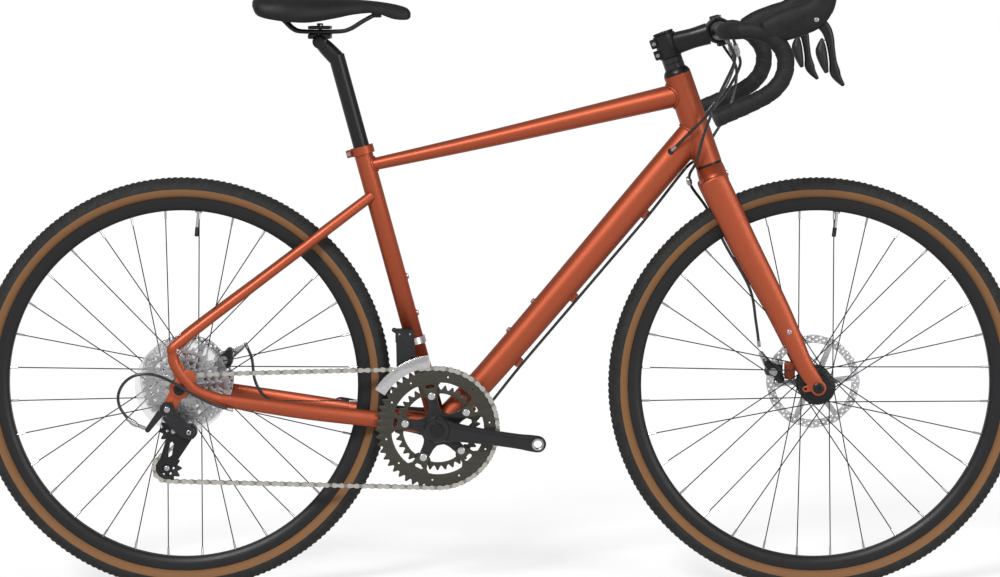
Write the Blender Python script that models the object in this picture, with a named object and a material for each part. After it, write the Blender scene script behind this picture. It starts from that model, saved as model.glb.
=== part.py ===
"""A gravel bicycle: drop bars, disc brakes, a double chainset and eight sprockets.

Metres, +Z up, +X towards the front wheel, +Y to the rider's left. The origin is on the
ground, midway between the two axles. The drive side is the right side, at -Y.
"""

import math

import bmesh
import bpy
from mathutils import Vector
from mathutils.geometry import tessellate_polygon

# ---------------------------------------------------------------- driving dimensions

CLEAR = 0.0003  # gap between pieces that touch on the real bicycle
TURN_GAP = 0.0010  # running gap beside a piece that turns
Y_AXIS = Vector((0.0, 1.0, 0.0))
Z_AXIS = Vector((0.0, 0.0, 1.0))

# Wheels
BEAD_RADIUS = 0.3110
TYRE_SECTION = 0.0400
TYRE_WALL = 0.0026
RIM_WIDTH = 0.0240
RIM_WALL = 0.0025
RIM_LIP = 0.0060  # flange above the bead seat
RIM_DEPTH = 0.0225
WHEEL_STEPS = 28
SPOKES = 32
SPOKE_RADIUS = 0.0010
SPOKE_CROSSES = 3
RIM_HOLE_Y = 0.0025  # of a spoke hole, off the middle of the rim
FLANGE_RADIUS = 0.0310
FLANGE_THICK = 0.0030
SPOKE_CIRCLE = 0.0275
HUB_BARREL_RADIUS = 0.0170
HUB_BORE = 0.0100
AXLE_RADIUS = 0.0060
BEARING_WIDTH = 0.0080

# Frame
WHEELBASE = 1.0690
CHAINSTAY = 0.4357
BB_DROP = 0.0688
HEAD_ANGLE = math.radians(70.5)
SEAT_ANGLE = math.radians(74.8)
FORK_OFFSET = 0.0480
AXLE_TO_HEAD_TUBE = 0.4135  # along the steering axis, from the foot of the fork offset
HEAD_LENGTH = 0.1588
HEAD_TUBE_RADIUS = 0.0230
HEAD_TUBE_WALL = 0.0025
SEAT_TUBE_LENGTH = 0.4885
SEAT_TUBE_RADIUS = 0.0158
SEATPOST_RADIUS = 0.0136
FRAME_WALL = 0.0018
BOSS_SPACING = 0.0640
BOSS_RADIUS = 0.0050
SEAT_BOSS_ALONG = 0.1930
DOWN_BOSS_ALONG = 0.0500
HANGER_BOLT_RADIUS = 0.0048
SHELL_WIDTH = 0.0680
SHELL_RADIUS = 0.0200
SHELL_BORE = 0.0172
STAY_SPACING = 0.1490  # between the middles of the two rear dropouts
DROPOUT_THICK = 0.0070
REAR_OVER_LOCKNUT = 0.1420
FRONT_OVER_LOCKNUT = 0.1000
TUBE_SIDES = 12
HEAD_SIDES = 16

# Drivetrain
CHAIN_PITCH = 0.0127
CHAIN_ROLLER_RADIUS = 0.0039
CHAIN_PLATE_HALF = 0.0042
CHAIN_INNER_HALF = 0.0020
CHAIN_OUTER_HALF = 0.0034
RING_TEETH = 50
SMALL_RING_TEETH = 34
RING_HALF = 0.0010
RING_Y = -0.0475
RING_SPACING = 0.0070
BOLT_CIRCLE_RADIUS = 0.0550
SPIDER_ARMS = 5
RING_BOLT_RADIUS = 0.0039
SPIDER_ANGLE = math.radians(28.3)
CRANK_LENGTH = 0.1700
CRANK_ANGLE = math.radians(-8.2)
CRANK_THICK = 0.0143
CRANK_FACE_Y = 0.0745  # outer face of each crank arm
CRANK_BOSS_PROUD = 0.0020
SPINDLE_RADIUS = 0.0085
PEDAL_HOLE_RADIUS = 0.0072
SPROCKETS = (11, 12, 14, 16, 18, 21, 26, 32)
SPROCKET_PITCH = 0.0048
SPROCKET_HALF = 0.0009
SMALLEST_SPROCKET_Y = -0.0585
FREEHUB_RADIUS = 0.0172
PULLEY_TEETH = 11
GUARD_RADIUS = 0.0800

# Brakes
ROTOR_RADIUS = 0.0800
ROTOR_HALF = 0.0009
ROTOR_TRACK = 0.0140
FRONT_ROTOR_Y = 0.0395
REAR_ROTOR_Y = 0.0522
ROTOR_HOLE = 0.0143
PAD_THICK = 0.0028
PAD_GAP = 0.0006

# Cockpit
STEERER_RADIUS = 0.0143
STEERER_WALL = 0.0023
HEAD_CAP_HEIGHT = 0.0095
SPACER_HEIGHT = 0.0100
SPACER_COUNT = 2
SPACER_RADIUS = 0.0173
STEM_CLAMP_HEIGHT = 0.0400
STEM_LENGTH = 0.0890
STEM_RISE = math.radians(16.6)  # above the horizontal
STEM_HALF_HEIGHT = 0.0185
STEM_HALF_WIDTH = 0.0155
BAR_CLAMP_RADIUS = 0.0159
BAR_RADIUS = 0.0119
TAPE_THICK = 0.0028
HOOD_Y = 0.2070
LEVER_HALF_WIDTH = 0.0060

# Saddle
POST_TOP = 0.6560  # along the seat tube, from the bottom bracket
POST_FOOT = 0.3300
RAIL_RADIUS = 0.0035
RAIL_Y = 0.0220
RAIL_ABOVE_PIVOT = 0.01685

# Cables
HOUSING_RADIUS = 0.0025
CORD_STEP = 6.0  # of a cord's points, in its radii

# ---------------------------------------------------------------- derived places

AXLE_HEIGHT = BEAD_RADIUS + TYRE_SECTION
FRONT_AXLE = Vector((WHEELBASE / 2, 0.0, AXLE_HEIGHT))
REAR_AXLE = Vector((-WHEELBASE / 2, 0.0, AXLE_HEIGHT))
BB = REAR_AXLE + Vector((math.sqrt(CHAINSTAY**2 - BB_DROP**2), 0.0, -BB_DROP))
HEAD_UP = Vector((-math.cos(HEAD_ANGLE), 0.0, math.sin(HEAD_ANGLE)))
HEAD_AHEAD = Vector((math.sin(HEAD_ANGLE), 0.0, math.cos(HEAD_ANGLE)))
HEAD_FOOT = FRONT_AXLE - HEAD_AHEAD * FORK_OFFSET
SEAT_UP = Vector((-math.cos(SEAT_ANGLE), 0.0, math.sin(SEAT_ANGLE)))
SEAT_AHEAD = Vector((math.sin(SEAT_ANGLE), 0.0, math.cos(SEAT_ANGLE)))
HEAD_LOW = AXLE_TO_HEAD_TUBE
HEAD_HIGH = HEAD_LOW + HEAD_LENGTH
SPACERS_LOW = HEAD_HIGH + 2 * CLEAR + HEAD_CAP_HEIGHT
STEM_LOW = SPACERS_LOW + SPACER_COUNT * (SPACER_HEIGHT + CLEAR)
STEM_MIDDLE = STEM_LOW + STEM_CLAMP_HEIGHT / 2
STEM_HIGH = STEM_LOW + STEM_CLAMP_HEIGHT
STEM_AHEAD = Vector((math.cos(STEM_RISE), 0.0, math.sin(STEM_RISE)))
STEM_ACROSS = Vector((-math.sin(STEM_RISE), 0.0, math.cos(STEM_RISE)))
RIM_RADIUS = BEAD_RADIUS + RIM_LIP
RIM_INNER_RADIUS = RIM_RADIUS - RIM_DEPTH
STAY_Y = STAY_SPACING / 2
SMALL_RING_Y = RING_Y + RING_SPACING
REAR_FACE_Y = REAR_OVER_LOCKNUT / 2
FRONT_FACE_Y = FRONT_OVER_LOCKNUT / 2


def head_point(along, ahead=0.0, y=0.0):
    """A point by its distance up the steering axis, ahead of it and to the left."""
    return HEAD_FOOT + HEAD_UP * along + HEAD_AHEAD * ahead + Y_AXIS * y


def seat_point(along, ahead=0.0, y=0.0):
    """A point by its distance up the seat tube, ahead of its axis and to the left."""
    return BB + SEAT_UP * along + SEAT_AHEAD * ahead + Y_AXIS * y


def pitch_radius(teeth):
    return CHAIN_PITCH / (2.0 * math.sin(math.pi / teeth))


def tip_radius(teeth):
    return CHAIN_PITCH * (0.6 + 1.0 / math.tan(math.pi / teeth)) / 2.0


BAR_CLAMP = head_point(STEM_MIDDLE) + STEM_AHEAD * STEM_LENGTH
PULLEY_PITCH = pitch_radius(PULLEY_TEETH)
HANGER = REAR_AXLE + Vector((-0.0199, 0.0, -0.0325))
CAGE_PIVOT = REAR_AXLE + Vector((0.0162, 0.0, -0.0710))
GUIDE = REAR_AXLE + Vector((-0.0120, 0.0, -0.0720))
TENSION = REAR_AXLE + Vector((-0.0235, 0.0, -0.1346))
SADDLE_PIVOT = seat_point(POST_TOP) + Vector((-0.0245, 0.0, 0.0140))
RAIL_HEIGHT = SADDLE_PIVOT.z + RAIL_ABOVE_PIVOT

# ---------------------------------------------------------------- materials

MATERIALS = {
    "copper paint": ((0.52, 0.14, 0.045, 1.0), 0.35, 0.75),
    "black metal": ((0.012, 0.012, 0.013, 1.0), 0.35, 0.6),
    "dark rim": ((0.03, 0.03, 0.032, 1.0), 0.5, 0.5),
    "silver": ((0.62, 0.62, 0.63, 1.0), 0.3, 1.0),
    "ring grey": ((0.07, 0.068, 0.055, 1.0), 0.45, 0.8),
    "rubber": ((0.02, 0.02, 0.021, 1.0), 0.8, 0.0),
    "tape": ((0.025, 0.025, 0.027, 1.0), 0.7, 0.0),
    "hood": ((0.015, 0.015, 0.016, 1.0), 0.65, 0.0),
    "housing": ((0.01, 0.01, 0.01, 1.0), 0.4, 0.0),
    "clear plastic": ((0.7, 0.7, 0.68, 1.0), 0.25, 0.0),
    "chain steel": ((0.5, 0.47, 0.42, 1.0), 0.35, 1.0),
}


def material(name):
    """The named material, made on its first use."""
    found = bpy.data.materials.get(name)
    if found:
        return found
    colour, roughness, metallic = MATERIALS[name]
    made = bpy.data.materials.new(name)
    made.use_nodes = True
    made.diffuse_color = colour
    shader = made.node_tree.nodes["Principled BSDF"]
    shader.inputs["Base Color"].default_value = colour
    shader.inputs["Roughness"].default_value = roughness
    shader.inputs["Metallic"].default_value = metallic
    return made


# ---------------------------------------------------------------- solids

# A solid is (points, faces) in the bicycle's own frame.


def loft(rings, loop=False):
    """One closed body through rings of equal length; a loop also joins the last to the first."""
    count = len(rings[0])
    points = [point for ring in rings for point in ring]
    faces = []
    for i in range(len(rings) if loop else len(rings) - 1):
        low = i * count
        high = (i + 1) % len(rings) * count
        for j in range(count):
            k = (j + 1) % count
            faces.append((low + j, low + k, high + k, high + j))
    if not loop:
        faces.append(tuple(range(count)))
        faces.append(tuple(range(len(points) - count, len(points))))
    return points, faces


def oval(centre, across, up, half_across, half_up, sides):
    """Points of an ellipse, its first one at the end of the half_across axis."""
    turns = [2.0 * math.pi * i / sides for i in range(sides)]
    return [
        centre + across * (half_across * math.cos(turn)) + up * (half_up * math.sin(turn))
        for turn in turns
    ]


def smooth(rows, steps):
    """Catmull-Rom rows through the given ones; a row is a point and any sizes after it."""
    result = []
    last = len(rows) - 1
    for i in range(last):
        near = (rows[max(i - 1, 0)], rows[i], rows[i + 1], rows[min(i + 2, last)])
        for step in range(steps):
            t = step / steps
            row = []
            for a, b, c, d in zip(*near):
                bend = (2 * a - 5 * b + 4 * c - d) * t * t + (3 * b - a - 3 * c + d) * t**3
                row.append(0.5 * (2 * b + (c - a) * t + bend))
            result.append(tuple(row))
    result.append(tuple(rows[last]))
    return result


def carried_axes(points, across):
    """The across and up directions at each point of a path, carried along without twist."""
    result = []
    for i in range(len(points)):
        tangent = (points[min(i + 1, len(points) - 1)] - points[max(i - 1, 0)]).normalized()
        across = (across - tangent * across.dot(tangent)).normalized()
        result.append((across, tangent.cross(across)))
    return result


def limb(rows, sides, across=Y_AXIS, wall=0.0):
    """A bar, or with a wall a tube, through rows of (x, y, z, half across, half up)."""
    points = [Vector(row[:3]) for row in rows]
    axes = carried_axes(points, across)
    outer = []
    inner = []
    for row, point, (side, up) in zip(rows, points, axes):
        outer.append(oval(point, side, up, row[3], row[4], sides))
        inner.append(oval(point, side, up, row[3] - wall, row[4] - wall, sides))
    if wall:
        return loft(outer + inner[::-1], loop=True)
    return loft(outer)


def rod(start, end, radius, sides=12, across=None, end_radius=None):
    """A straight round bar, or a cone frustum."""
    along = (end - start).normalized()
    if across is None:
        across = Z_AXIS if abs(along.dot(Y_AXIS)) > 0.9 else Y_AXIS
    across = (across - along * across.dot(along)).normalized()
    up = along.cross(across)
    far = radius if end_radius is None else end_radius
    rings = [
        oval(start, across, up, radius, radius, sides),
        oval(end, across, up, far, far, sides),
    ]
    return loft(rings)


def pin(place, low, high, radius, sides=12):
    """A round bar along Y through a place in the side view."""
    return rod(Vector((place.x, low, place.z)), Vector((place.x, high, place.z)), radius, sides)


def sleeve(start, end, outer, inner, sides=12):
    """A straight tube."""
    along = (end - start).normalized()
    across = Z_AXIS if abs(along.dot(Y_AXIS)) > 0.9 else Y_AXIS
    across = (across - along * across.dot(along)).normalized()
    up = along.cross(across)
    rings = [
        oval(place, across, up, radius, radius, sides)
        for place, radius in ((start, outer), (end, outer), (end, inner), (start, inner))
    ]
    return loft(rings, loop=True)


def ring_about(place, low, high, outer, inner, sides=16):
    """A ring about a line along Y through a place in the side view."""
    start = Vector((place.x, low, place.z))
    end = Vector((place.x, high, place.z))
    return sleeve(start, end, outer, inner, sides)


def spun(place, stations, sides=12):
    """A solid round body about a line along Y: stations are (y, radius)."""
    rings = []
    for y, radius in stations:
        centre = Vector((place.x, y, place.z))
        rings.append(oval(centre, Vector((1.0, 0.0, 0.0)), Z_AXIS, radius, radius, sides))
    return loft(rings)


def collar(stations, bore, sides=16):
    """A round body with a bore on the steering axis: stations are (distance up it, radius)."""
    across = HEAD_UP.cross(Y_AXIS)
    outer = [oval(head_point(along), Y_AXIS, across, r, r, sides) for along, r in stations]
    ends = (stations[-1][0], stations[0][0])
    inner = [oval(head_point(along), Y_AXIS, across, bore, bore, sides) for along in ends]
    return loft(outer + inner, loop=True)


def turned(profile, centre, sides):
    """A ring body about a line along Y: the profile is a closed list of (y, radius)."""
    rings = []
    for i in range(sides):
        turn = 2.0 * math.pi * i / sides
        out = Vector((math.sin(turn), 0.0, -math.cos(turn)))
        rings.append([centre + Y_AXIS * y + out * radius for y, radius in profile])
    return loft(rings, loop=True)


def block(centre, half_x, half_y, half_z, along=None):
    """A box; along is the direction of its own x, in the side view."""
    ahead = along.normalized() if along else Vector((1.0, 0.0, 0.0))
    up = ahead.cross(Y_AXIS) * -1.0
    up = up if up.z > 0 else -up
    rings = []
    for x in (-half_x, half_x):
        corners = ((-half_y, -half_z), (half_y, -half_z), (half_y, half_z), (-half_y, half_z))
        rings.append([centre + ahead * x + Y_AXIS * y + up * z for y, z in corners])
    return loft(rings)


def plate(outline, low, high, holes=()):
    """A side-view outline of (x, z) with holes, standing from y low to y high."""
    loops = [outline, *holes]
    flat = [place for loop in loops for place in loop]
    caps = tessellate_polygon([[Vector((x, z, 0.0)) for x, z in loop] for loop in loops])
    count = len(flat)
    points = [Vector((x, low, z)) for x, z in flat] + [Vector((x, high, z)) for x, z in flat]
    faces = [tuple(cap) for cap in caps]
    faces += [tuple(i + count for i in reversed(cap)) for cap in caps]
    start = 0
    for loop in loops:
        for i in range(len(loop)):
            near = start + i
            far = start + (i + 1) % len(loop)
            faces.append((near, far, far + count, near + count))
        start += len(loop)
    return points, faces


def mirrored(solid):
    """The same solid on the other side of the bicycle."""
    points, faces = solid
    return [Vector((p.x, -p.y, p.z)) for p in points], [tuple(reversed(face)) for face in faces]


def both_sides(solid):
    return [solid, mirrored(solid)]


# ---------------------------------------------------------------- side-view outlines


def polar(centre, radius, turn):
    """A side-view place (x, z) at a radius and an angle from +X towards +Z."""
    return centre.x + radius * math.cos(turn), centre.z + radius * math.sin(turn)


def circle(centre, radius, steps, start=0.0):
    return [polar(centre, radius, start + 2.0 * math.pi * i / steps) for i in range(steps)]


def arc(centre, radius, start, end, steps):
    return [polar(centre, radius, start + (end - start) * i / steps) for i in range(steps + 1)]


def belt(wheels, step):
    """A tangent loop round wheels of (centre, radius, turn), with turn 1 anticlockwise.

    It gives one list for each wheel, of (x, z, normal angle); the normal points to the left
    of the direction in which the loop runs."""
    count = len(wheels)
    arrive = [0.0] * count
    leave = [0.0] * count
    for i, (centre, radius, turn) in enumerate(wheels):
        j = (i + 1) % count
        next_centre, next_radius, next_turn = wheels[j]
        apart = next_centre - centre
        heading = math.atan2(apart.z, apart.x)
        reach = math.hypot(apart.x, apart.z)
        normal = heading + math.acos((next_radius * next_turn - radius * turn) / reach)
        leave[i] = normal + (math.pi if turn == 1 else 0.0)
        arrive[j] = normal + (math.pi if next_turn == 1 else 0.0)
    loops = []
    for i, (centre, radius, turn) in enumerate(wheels):
        swept = (leave[i] - arrive[i]) * turn % (2.0 * math.pi)
        steps = max(1, math.ceil(swept / step))
        rows = []
        for k in range(steps + 1):
            angle = arrive[i] + turn * swept * k / steps
            x, z = polar(centre, radius, angle)
            rows.append((x, z, angle + (math.pi if turn == 1 else 0.0)))
        loops.append(rows)
    return loops


def wrapped(discs, step=math.radians(30.0)):
    """The outline of a band drawn tight round discs of (centre, radius), anticlockwise."""
    loops = belt([(centre, radius, 1) for centre, radius in discs], step)
    return [(x, z) for rows in loops for x, z, _ in rows]


def toothed(centre, teeth):
    """A sprocket's outline: a valley and a tip for each tooth."""
    outline = []
    valley = pitch_radius(teeth) - CHAIN_ROLLER_RADIUS
    tip = tip_radius(teeth)
    pitch = 2.0 * math.pi / teeth
    for i in range(teeth):
        outline.append(polar(centre, valley, i * pitch))
        outline.append(polar(centre, tip, (i + 0.5) * pitch))
    return outline


# ---------------------------------------------------------------- objects

PIVOTS = {}


def body(name, pivot, parent=None):
    """An empty on a joint's axis, which carries the pieces that move with it."""
    empty = bpy.data.objects.new(name, None)
    bpy.context.scene.collection.objects.link(empty)
    empty.empty_display_size = 0.03
    empty.location = pivot - (PIVOTS[parent.name] if parent else Vector())
    empty.parent = parent
    PIVOTS[name] = pivot.copy()
    return empty


def mesh_object(name, solids, pivot):
    """One object that holds some solids, with its origin at the pivot."""
    work = bmesh.new()
    for points, faces in solids:
        made = [work.verts.new(point - pivot) for point in points]
        for face in faces:
            work.faces.new([made[i] for i in face])
    bmesh.ops.recalc_face_normals(work, faces=work.faces)
    mesh = bpy.data.meshes.new(name)
    work.to_mesh(mesh)
    work.free()
    mesh.shade_smooth()
    mesh.set_sharp_from_angle(angle=math.radians(40.0))
    made = bpy.data.objects.new(name, mesh)
    bpy.context.scene.collection.objects.link(made)
    return made


def node(name, solids, look, parent=None):
    """A piece of the bicycle."""
    pivot = PIVOTS[parent.name] if parent else Vector()
    made = mesh_object(name, solids, pivot)
    made.data.materials.append(material(look))
    made.parent = parent
    return made


def shaped(target, solids, operation="DIFFERENCE"):
    """Cuts solids out of a piece, or joins them to the piece; they are apart from each other."""
    number = len(target.modifiers) + 1
    tool = mesh_object(f"{target.name}_tool_{number}", solids, Vector())
    tool.hide_render = True
    tool.display_type = "WIRE"
    change = target.modifiers.new(f"shape {number}", "BOOLEAN")
    change.operation = operation
    change.solver = "EXACT"
    change.object = tool


def cut(target, *solids):
    shaped(target, solids)


def joined(target, *solids):
    """Joins solids that meet the piece, and may meet each other, one after the other."""
    for solid in solids:
        shaped(target, [solid], "UNION")


def cord(name, route, radius, parent=None):
    """A cable's housing: a curve with a round section along one route."""
    pivot = PIVOTS[parent.name] if parent else Vector()
    curve = bpy.data.curves.new(name, "CURVE")
    curve.dimensions = "3D"
    curve.bevel_depth = radius
    curve.bevel_resolution = 2
    curve.use_fill_caps = True
    points = even_points(route, CORD_STEP * radius)
    spline = curve.splines.new("POLY")
    spline.points.add(len(points) - 1)
    for place, point in zip(spline.points, points):
        place.co = (*(point - pivot), 1.0)
    curve.materials.append(material("housing"))
    made = bpy.data.objects.new(name, curve)
    bpy.context.scene.collection.objects.link(made)
    made.parent = parent


def even_points(route, gap):
    """Points about a gap apart along the smooth curve through a route's own points."""
    fine = [Vector(row) for row in smooth([tuple(point) for point in route], 24)]
    lengths = [0.0]
    for near, far in zip(fine, fine[1:]):
        lengths.append(lengths[-1] + (far - near).length)
    count = max(2, round(lengths[-1] / gap))
    points = []
    at = 0
    for i in range(count + 1):
        target = lengths[-1] * i / count
        while at < len(fine) - 2 and lengths[at + 1] < target:
            at += 1
        share = (target - lengths[at]) / (lengths[at + 1] - lengths[at])
        points.append(fine[at].lerp(fine[at + 1], share))
    return points


# ---------------------------------------------------------------- frame

TOP_TUBE_ROWS = (
    # x, z, half width, half height
    (seat_point(0.4545).x, seat_point(0.4545).z, 0.0120, 0.0104),
    (-0.0328, 0.7627, 0.0160, 0.0136),
    (0.1700, 0.8099, 0.0182, 0.0172),
    (head_point(0.5384).x, head_point(0.5384).z, 0.0196, 0.0198),
)
DOWN_TUBE_ROWS = (
    (BB.x + 0.0057, BB.z + 0.0008, 0.0225, 0.0215),
    (0.0008, 0.3903, 0.0232, 0.0228),
    (0.2597, 0.6968, 0.0222, 0.0250),
    (head_point(0.4736).x, head_point(0.4736).z, 0.0205, 0.0256),
)
DOWN_TUBE_MIDDLE = Vector((0.0008, 0.0, 0.3903))
DOWN_TUBE_AHEAD = (Vector((0.2597, 0.0, 0.6968)) - DOWN_TUBE_MIDDLE).normalized()
DOWN_TUBE_ABOVE = Vector((-DOWN_TUBE_AHEAD.z, 0.0, DOWN_TUBE_AHEAD.x))
DOWN_CABLE_DROP = 0.0317  # of the cable under the down tube, from the tube's axis
SEATSTAY_ROWS = (
    # x, y, z, half width, half height
    (-0.2140, 0.0115, 0.6715, 0.0080, 0.0085),
    (-0.2500, 0.0215, 0.6443, 0.0080, 0.0085),
    (-0.2970, 0.0320, 0.6088, 0.0078, 0.0085),
    (-0.4000, 0.0490, 0.5310, 0.0078, 0.0084),
    (-0.5330, STAY_Y, 0.4304, 0.0070, 0.0088),
)
CHAINSTAY_ROWS = (
    (-0.4640, STAY_Y, 0.3334, 0.0070, 0.0105),
    (-0.3300, 0.0590, 0.3128, 0.0090, 0.0135),
    (-0.2100, 0.0345, 0.2960, 0.0085, 0.0140),
    (-0.1500, 0.0235, 0.2880, 0.0088, 0.0150),
    (BB.x - 0.0020, 0.0225, BB.z, 0.0095, 0.0150),
)


def side_rows(rows, steps):
    """Rows of (x, z, half width, half height) on the middle plane, made smooth."""
    return smooth([(x, 0.0, z, wide, high) for x, z, wide, high in rows], steps)


def head_cylinder(radius):
    return rod(head_point(HEAD_LOW - 0.05), head_point(HEAD_HIGH + 0.05), radius, 16)


def seat_cylinder(radius):
    return rod(BB - SEAT_UP * 0.05, seat_point(SEAT_TUBE_LENGTH + 0.05), radius, TUBE_SIDES)


def shell_cylinder(radius):
    return pin(BB, -SHELL_WIDTH, SHELL_WIDTH, radius, 16)


def head_tube():
    low = head_point(HEAD_LOW)
    high = head_point(HEAD_HIGH)
    inner = HEAD_TUBE_RADIUS - HEAD_TUBE_WALL
    node("head_tube", [sleeve(low, high, HEAD_TUBE_RADIUS, inner, HEAD_SIDES)], "copper paint")


def top_tube():
    tube = limb(side_rows(TOP_TUBE_ROWS, 2), TUBE_SIDES, wall=FRAME_WALL)
    made = node("top_tube", [tube], "copper paint")
    cut(made, head_cylinder(HEAD_TUBE_RADIUS + CLEAR))
    cut(made, seat_cylinder(SEAT_TUBE_RADIUS + CLEAR))


def down_tube():
    tube = limb(side_rows(DOWN_TUBE_ROWS, 2), TUBE_SIDES, wall=FRAME_WALL)
    made = node("down_tube", [tube], "copper paint")
    cut(made, head_cylinder(HEAD_TUBE_RADIUS + CLEAR))
    cut(made, seat_cylinder(SEAT_TUBE_RADIUS + CLEAR))
    cut(made, shell_cylinder(SHELL_RADIUS + CLEAR))
    top = 0.0225
    bottom = DOWN_CABLE_DROP - HOUSING_RADIUS - 2 * CLEAR
    for along in (0.3480, 0.1630, 0.0190):
        centre = DOWN_TUBE_MIDDLE + DOWN_TUBE_AHEAD * along - DOWN_TUBE_ABOVE * (top + bottom) / 2
        joined(made, block(centre, 0.007, 0.0045, (bottom - top) / 2, DOWN_TUBE_AHEAD))
    for along in (DOWN_BOSS_ALONG, DOWN_BOSS_ALONG + BOSS_SPACING):
        foot = DOWN_TUBE_MIDDLE + DOWN_TUBE_AHEAD * along + DOWN_TUBE_ABOVE * 0.0222
        joined(made, rod(foot, foot + DOWN_TUBE_ABOVE * 0.0040, BOSS_RADIUS, 8))


def seat_tube():
    foot = BB + SEAT_UP * (SHELL_RADIUS * 0.6)
    tube = sleeve(
        foot, seat_point(SEAT_TUBE_LENGTH), SEAT_TUBE_RADIUS, SEATPOST_RADIUS + CLEAR, TUBE_SIDES
    )
    made = node("seat_tube", [tube], "copper paint")
    cut(made, shell_cylinder(SHELL_RADIUS + CLEAR))
    for along in (SEAT_BOSS_ALONG, SEAT_BOSS_ALONG + BOSS_SPACING):
        foot = seat_point(along, SEAT_TUBE_RADIUS - FRAME_WALL / 2)
        joined(made, rod(foot, foot + SEAT_AHEAD * 0.0022, BOSS_RADIUS, 8))


def chainstays():
    """Both chainstays and the bottom bracket shell that they are welded to."""
    stay = limb(smooth(CHAINSTAY_ROWS, 2), 8)
    made = node("chainstays", both_sides(stay), "copper paint")
    cut(made, seat_cylinder(SEAT_TUBE_RADIUS + CLEAR))
    joined(made, pin(BB, -SHELL_WIDTH / 2, SHELL_WIDTH / 2, SHELL_RADIUS, 16))
    cut(made, shell_cylinder(SHELL_BORE))


def stay_end(rows, gap, reach):
    """The place a gap past a stay's end, and one a reach further on."""
    end = Vector(rows[-1][:3])
    back = Vector(smooth(rows, 2)[-2][:3])
    onward = (end - back).normalized()
    return end + onward * gap, end + onward * (gap + reach)


def elbow():
    """The curved end that joins a seatstay to a chainstay round the axle."""
    top, below_top = stay_end(SEATSTAY_ROWS, -0.006, 0.010)
    foot, before_foot = stay_end(CHAINSTAY_ROWS[::-1], CLEAR, 0.010)
    rows = [
        (*top, 0.0066, 0.0084),
        (*below_top, 0.0068, 0.0090),
        (-0.5420, STAY_Y, 0.4020, 0.0060, 0.0095),
        (-0.5290, STAY_Y, 0.3740, 0.0058, 0.0095),
        (-0.5080, STAY_Y, 0.3500, 0.0058, 0.0100),
        (*before_foot, 0.0066, 0.0100),
        (*foot, 0.0070, 0.0105),
    ]
    return limb(rows, 8)


def seatstays():
    """Both seatstays with their bridge, and the dropouts that they end in."""
    made = node("seatstays", both_sides(limb(smooth(SEATSTAY_ROWS, 2), 8)), "copper paint")
    cut(made, seat_cylinder(SEAT_TUBE_RADIUS + CLEAR))
    bridge = Vector(SEATSTAY_ROWS[1][:3])
    low, high = STAY_Y - DROPOUT_THICK / 2, STAY_Y + DROPOUT_THICK / 2
    tab = wrapped([(REAR_AXLE, 0.0165), (REAR_AXLE + Vector((0.0150, 0.0, 0.0200)), 0.0130)])
    hanger = wrapped([(HANGER, 0.0105), (REAR_AXLE, 0.0130)])
    foot = REAR_CALIPER + Vector((0.0, 0.0, -CALIPER_HALF - CLEAR))
    stand = foot.z - 0.3433
    joined(
        made,
        pin(bridge, -bridge.y, bridge.y, 0.0065, 8),
        elbow(),
        mirrored(elbow()),
        plate(tab, low, high),
        plate(tab, -high, -low),
        plate(hanger, -high + 0.0005, -low - 0.0005),
        block(Vector((foot.x, 0.0670, foot.z - stand / 2)), 0.0150, 0.0055, stand / 2),
    )
    cut(made, pin(REAR_AXLE, -0.1, 0.1, AXLE_RADIUS + CLEAR))
    cut(made, pin(HANGER, -0.1, 0.0, HANGER_BOLT_RADIUS + CLEAR))


def seat_collar():
    """The band on the seat tube's top, with its lug and cross bolt."""
    top = SEAT_TUBE_LENGTH
    height = 0.0140
    inner = SEAT_TUBE_RADIUS + CLEAR
    outer = inner + 0.0036
    band = sleeve(seat_point(top - height), seat_point(top), outer, inner, TUBE_SIDES)
    lug_centre = seat_point(top - height / 2, -outer - 0.0030)
    made = node("seat_collar", [band], "copper paint")
    joined(made, block(lug_centre, 0.0050, 0.0075, height / 2 - 0.0005, SEAT_AHEAD))
    joined(made, pin(lug_centre, -0.0110, 0.0110, 0.0038, 8))


# ---------------------------------------------------------------- bottom bracket and cranks


def bottom_bracket_cartridge():
    bore = SPINDLE_RADIUS + CLEAR
    half = SHELL_WIDTH / 2
    cup_edge = half + CLEAR
    cup_end = cup_edge + 0.0025
    profile = [
        (-cup_end, bore),
        (cup_end, bore),
        (cup_end, SHELL_RADIUS - 0.0010),
        (cup_edge, SHELL_RADIUS - 0.0010),
        (cup_edge, SHELL_BORE - CLEAR),
        (-cup_edge, SHELL_BORE - CLEAR),
        (-cup_edge, SHELL_RADIUS - 0.0010),
        (-cup_end, SHELL_RADIUS - 0.0010),
    ]
    node("bottom_bracket_cartridge", [turned(profile, BB, 16)], "black metal")


def crank_spindle(parent):
    """The spindle with the bolt heads that hold the two cranks on."""
    head = CRANK_FACE_Y + CRANK_BOSS_PROUD + CLEAR
    end = head + 0.0042
    stations = [(-end, 0.0105), (-head, 0.0105), (-head, SPINDLE_RADIUS)]
    stations += [(-y, radius) for y, radius in stations[::-1]]
    node("crank_spindle", [spun(BB, stations)], "black metal", parent)


def crank_arm(end):
    """A crank arm on the left side, from the bottom bracket to a pedal eye."""
    return plate(wrapped([(BB, 0.0185), (end, 0.0145)]), CRANK_FACE_Y - CRANK_THICK, CRANK_FACE_Y)


def spider_outline():
    """The five arms that hold the chainrings."""
    outline = []
    half = math.radians(8.5)
    for i in range(SPIDER_ARMS):
        turn = SPIDER_ANGLE + 2.0 * math.pi * i / SPIDER_ARMS
        outline.append(polar(BB, 0.0300, turn - math.pi / SPIDER_ARMS))
        outline.append(polar(BB, 0.0560, turn - half))
        outline.append(polar(BB, 0.0620, turn - half * 0.5))
        outline.append(polar(BB, 0.0620, turn + half * 0.5))
        outline.append(polar(BB, 0.0560, turn + half))
    return outline


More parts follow.
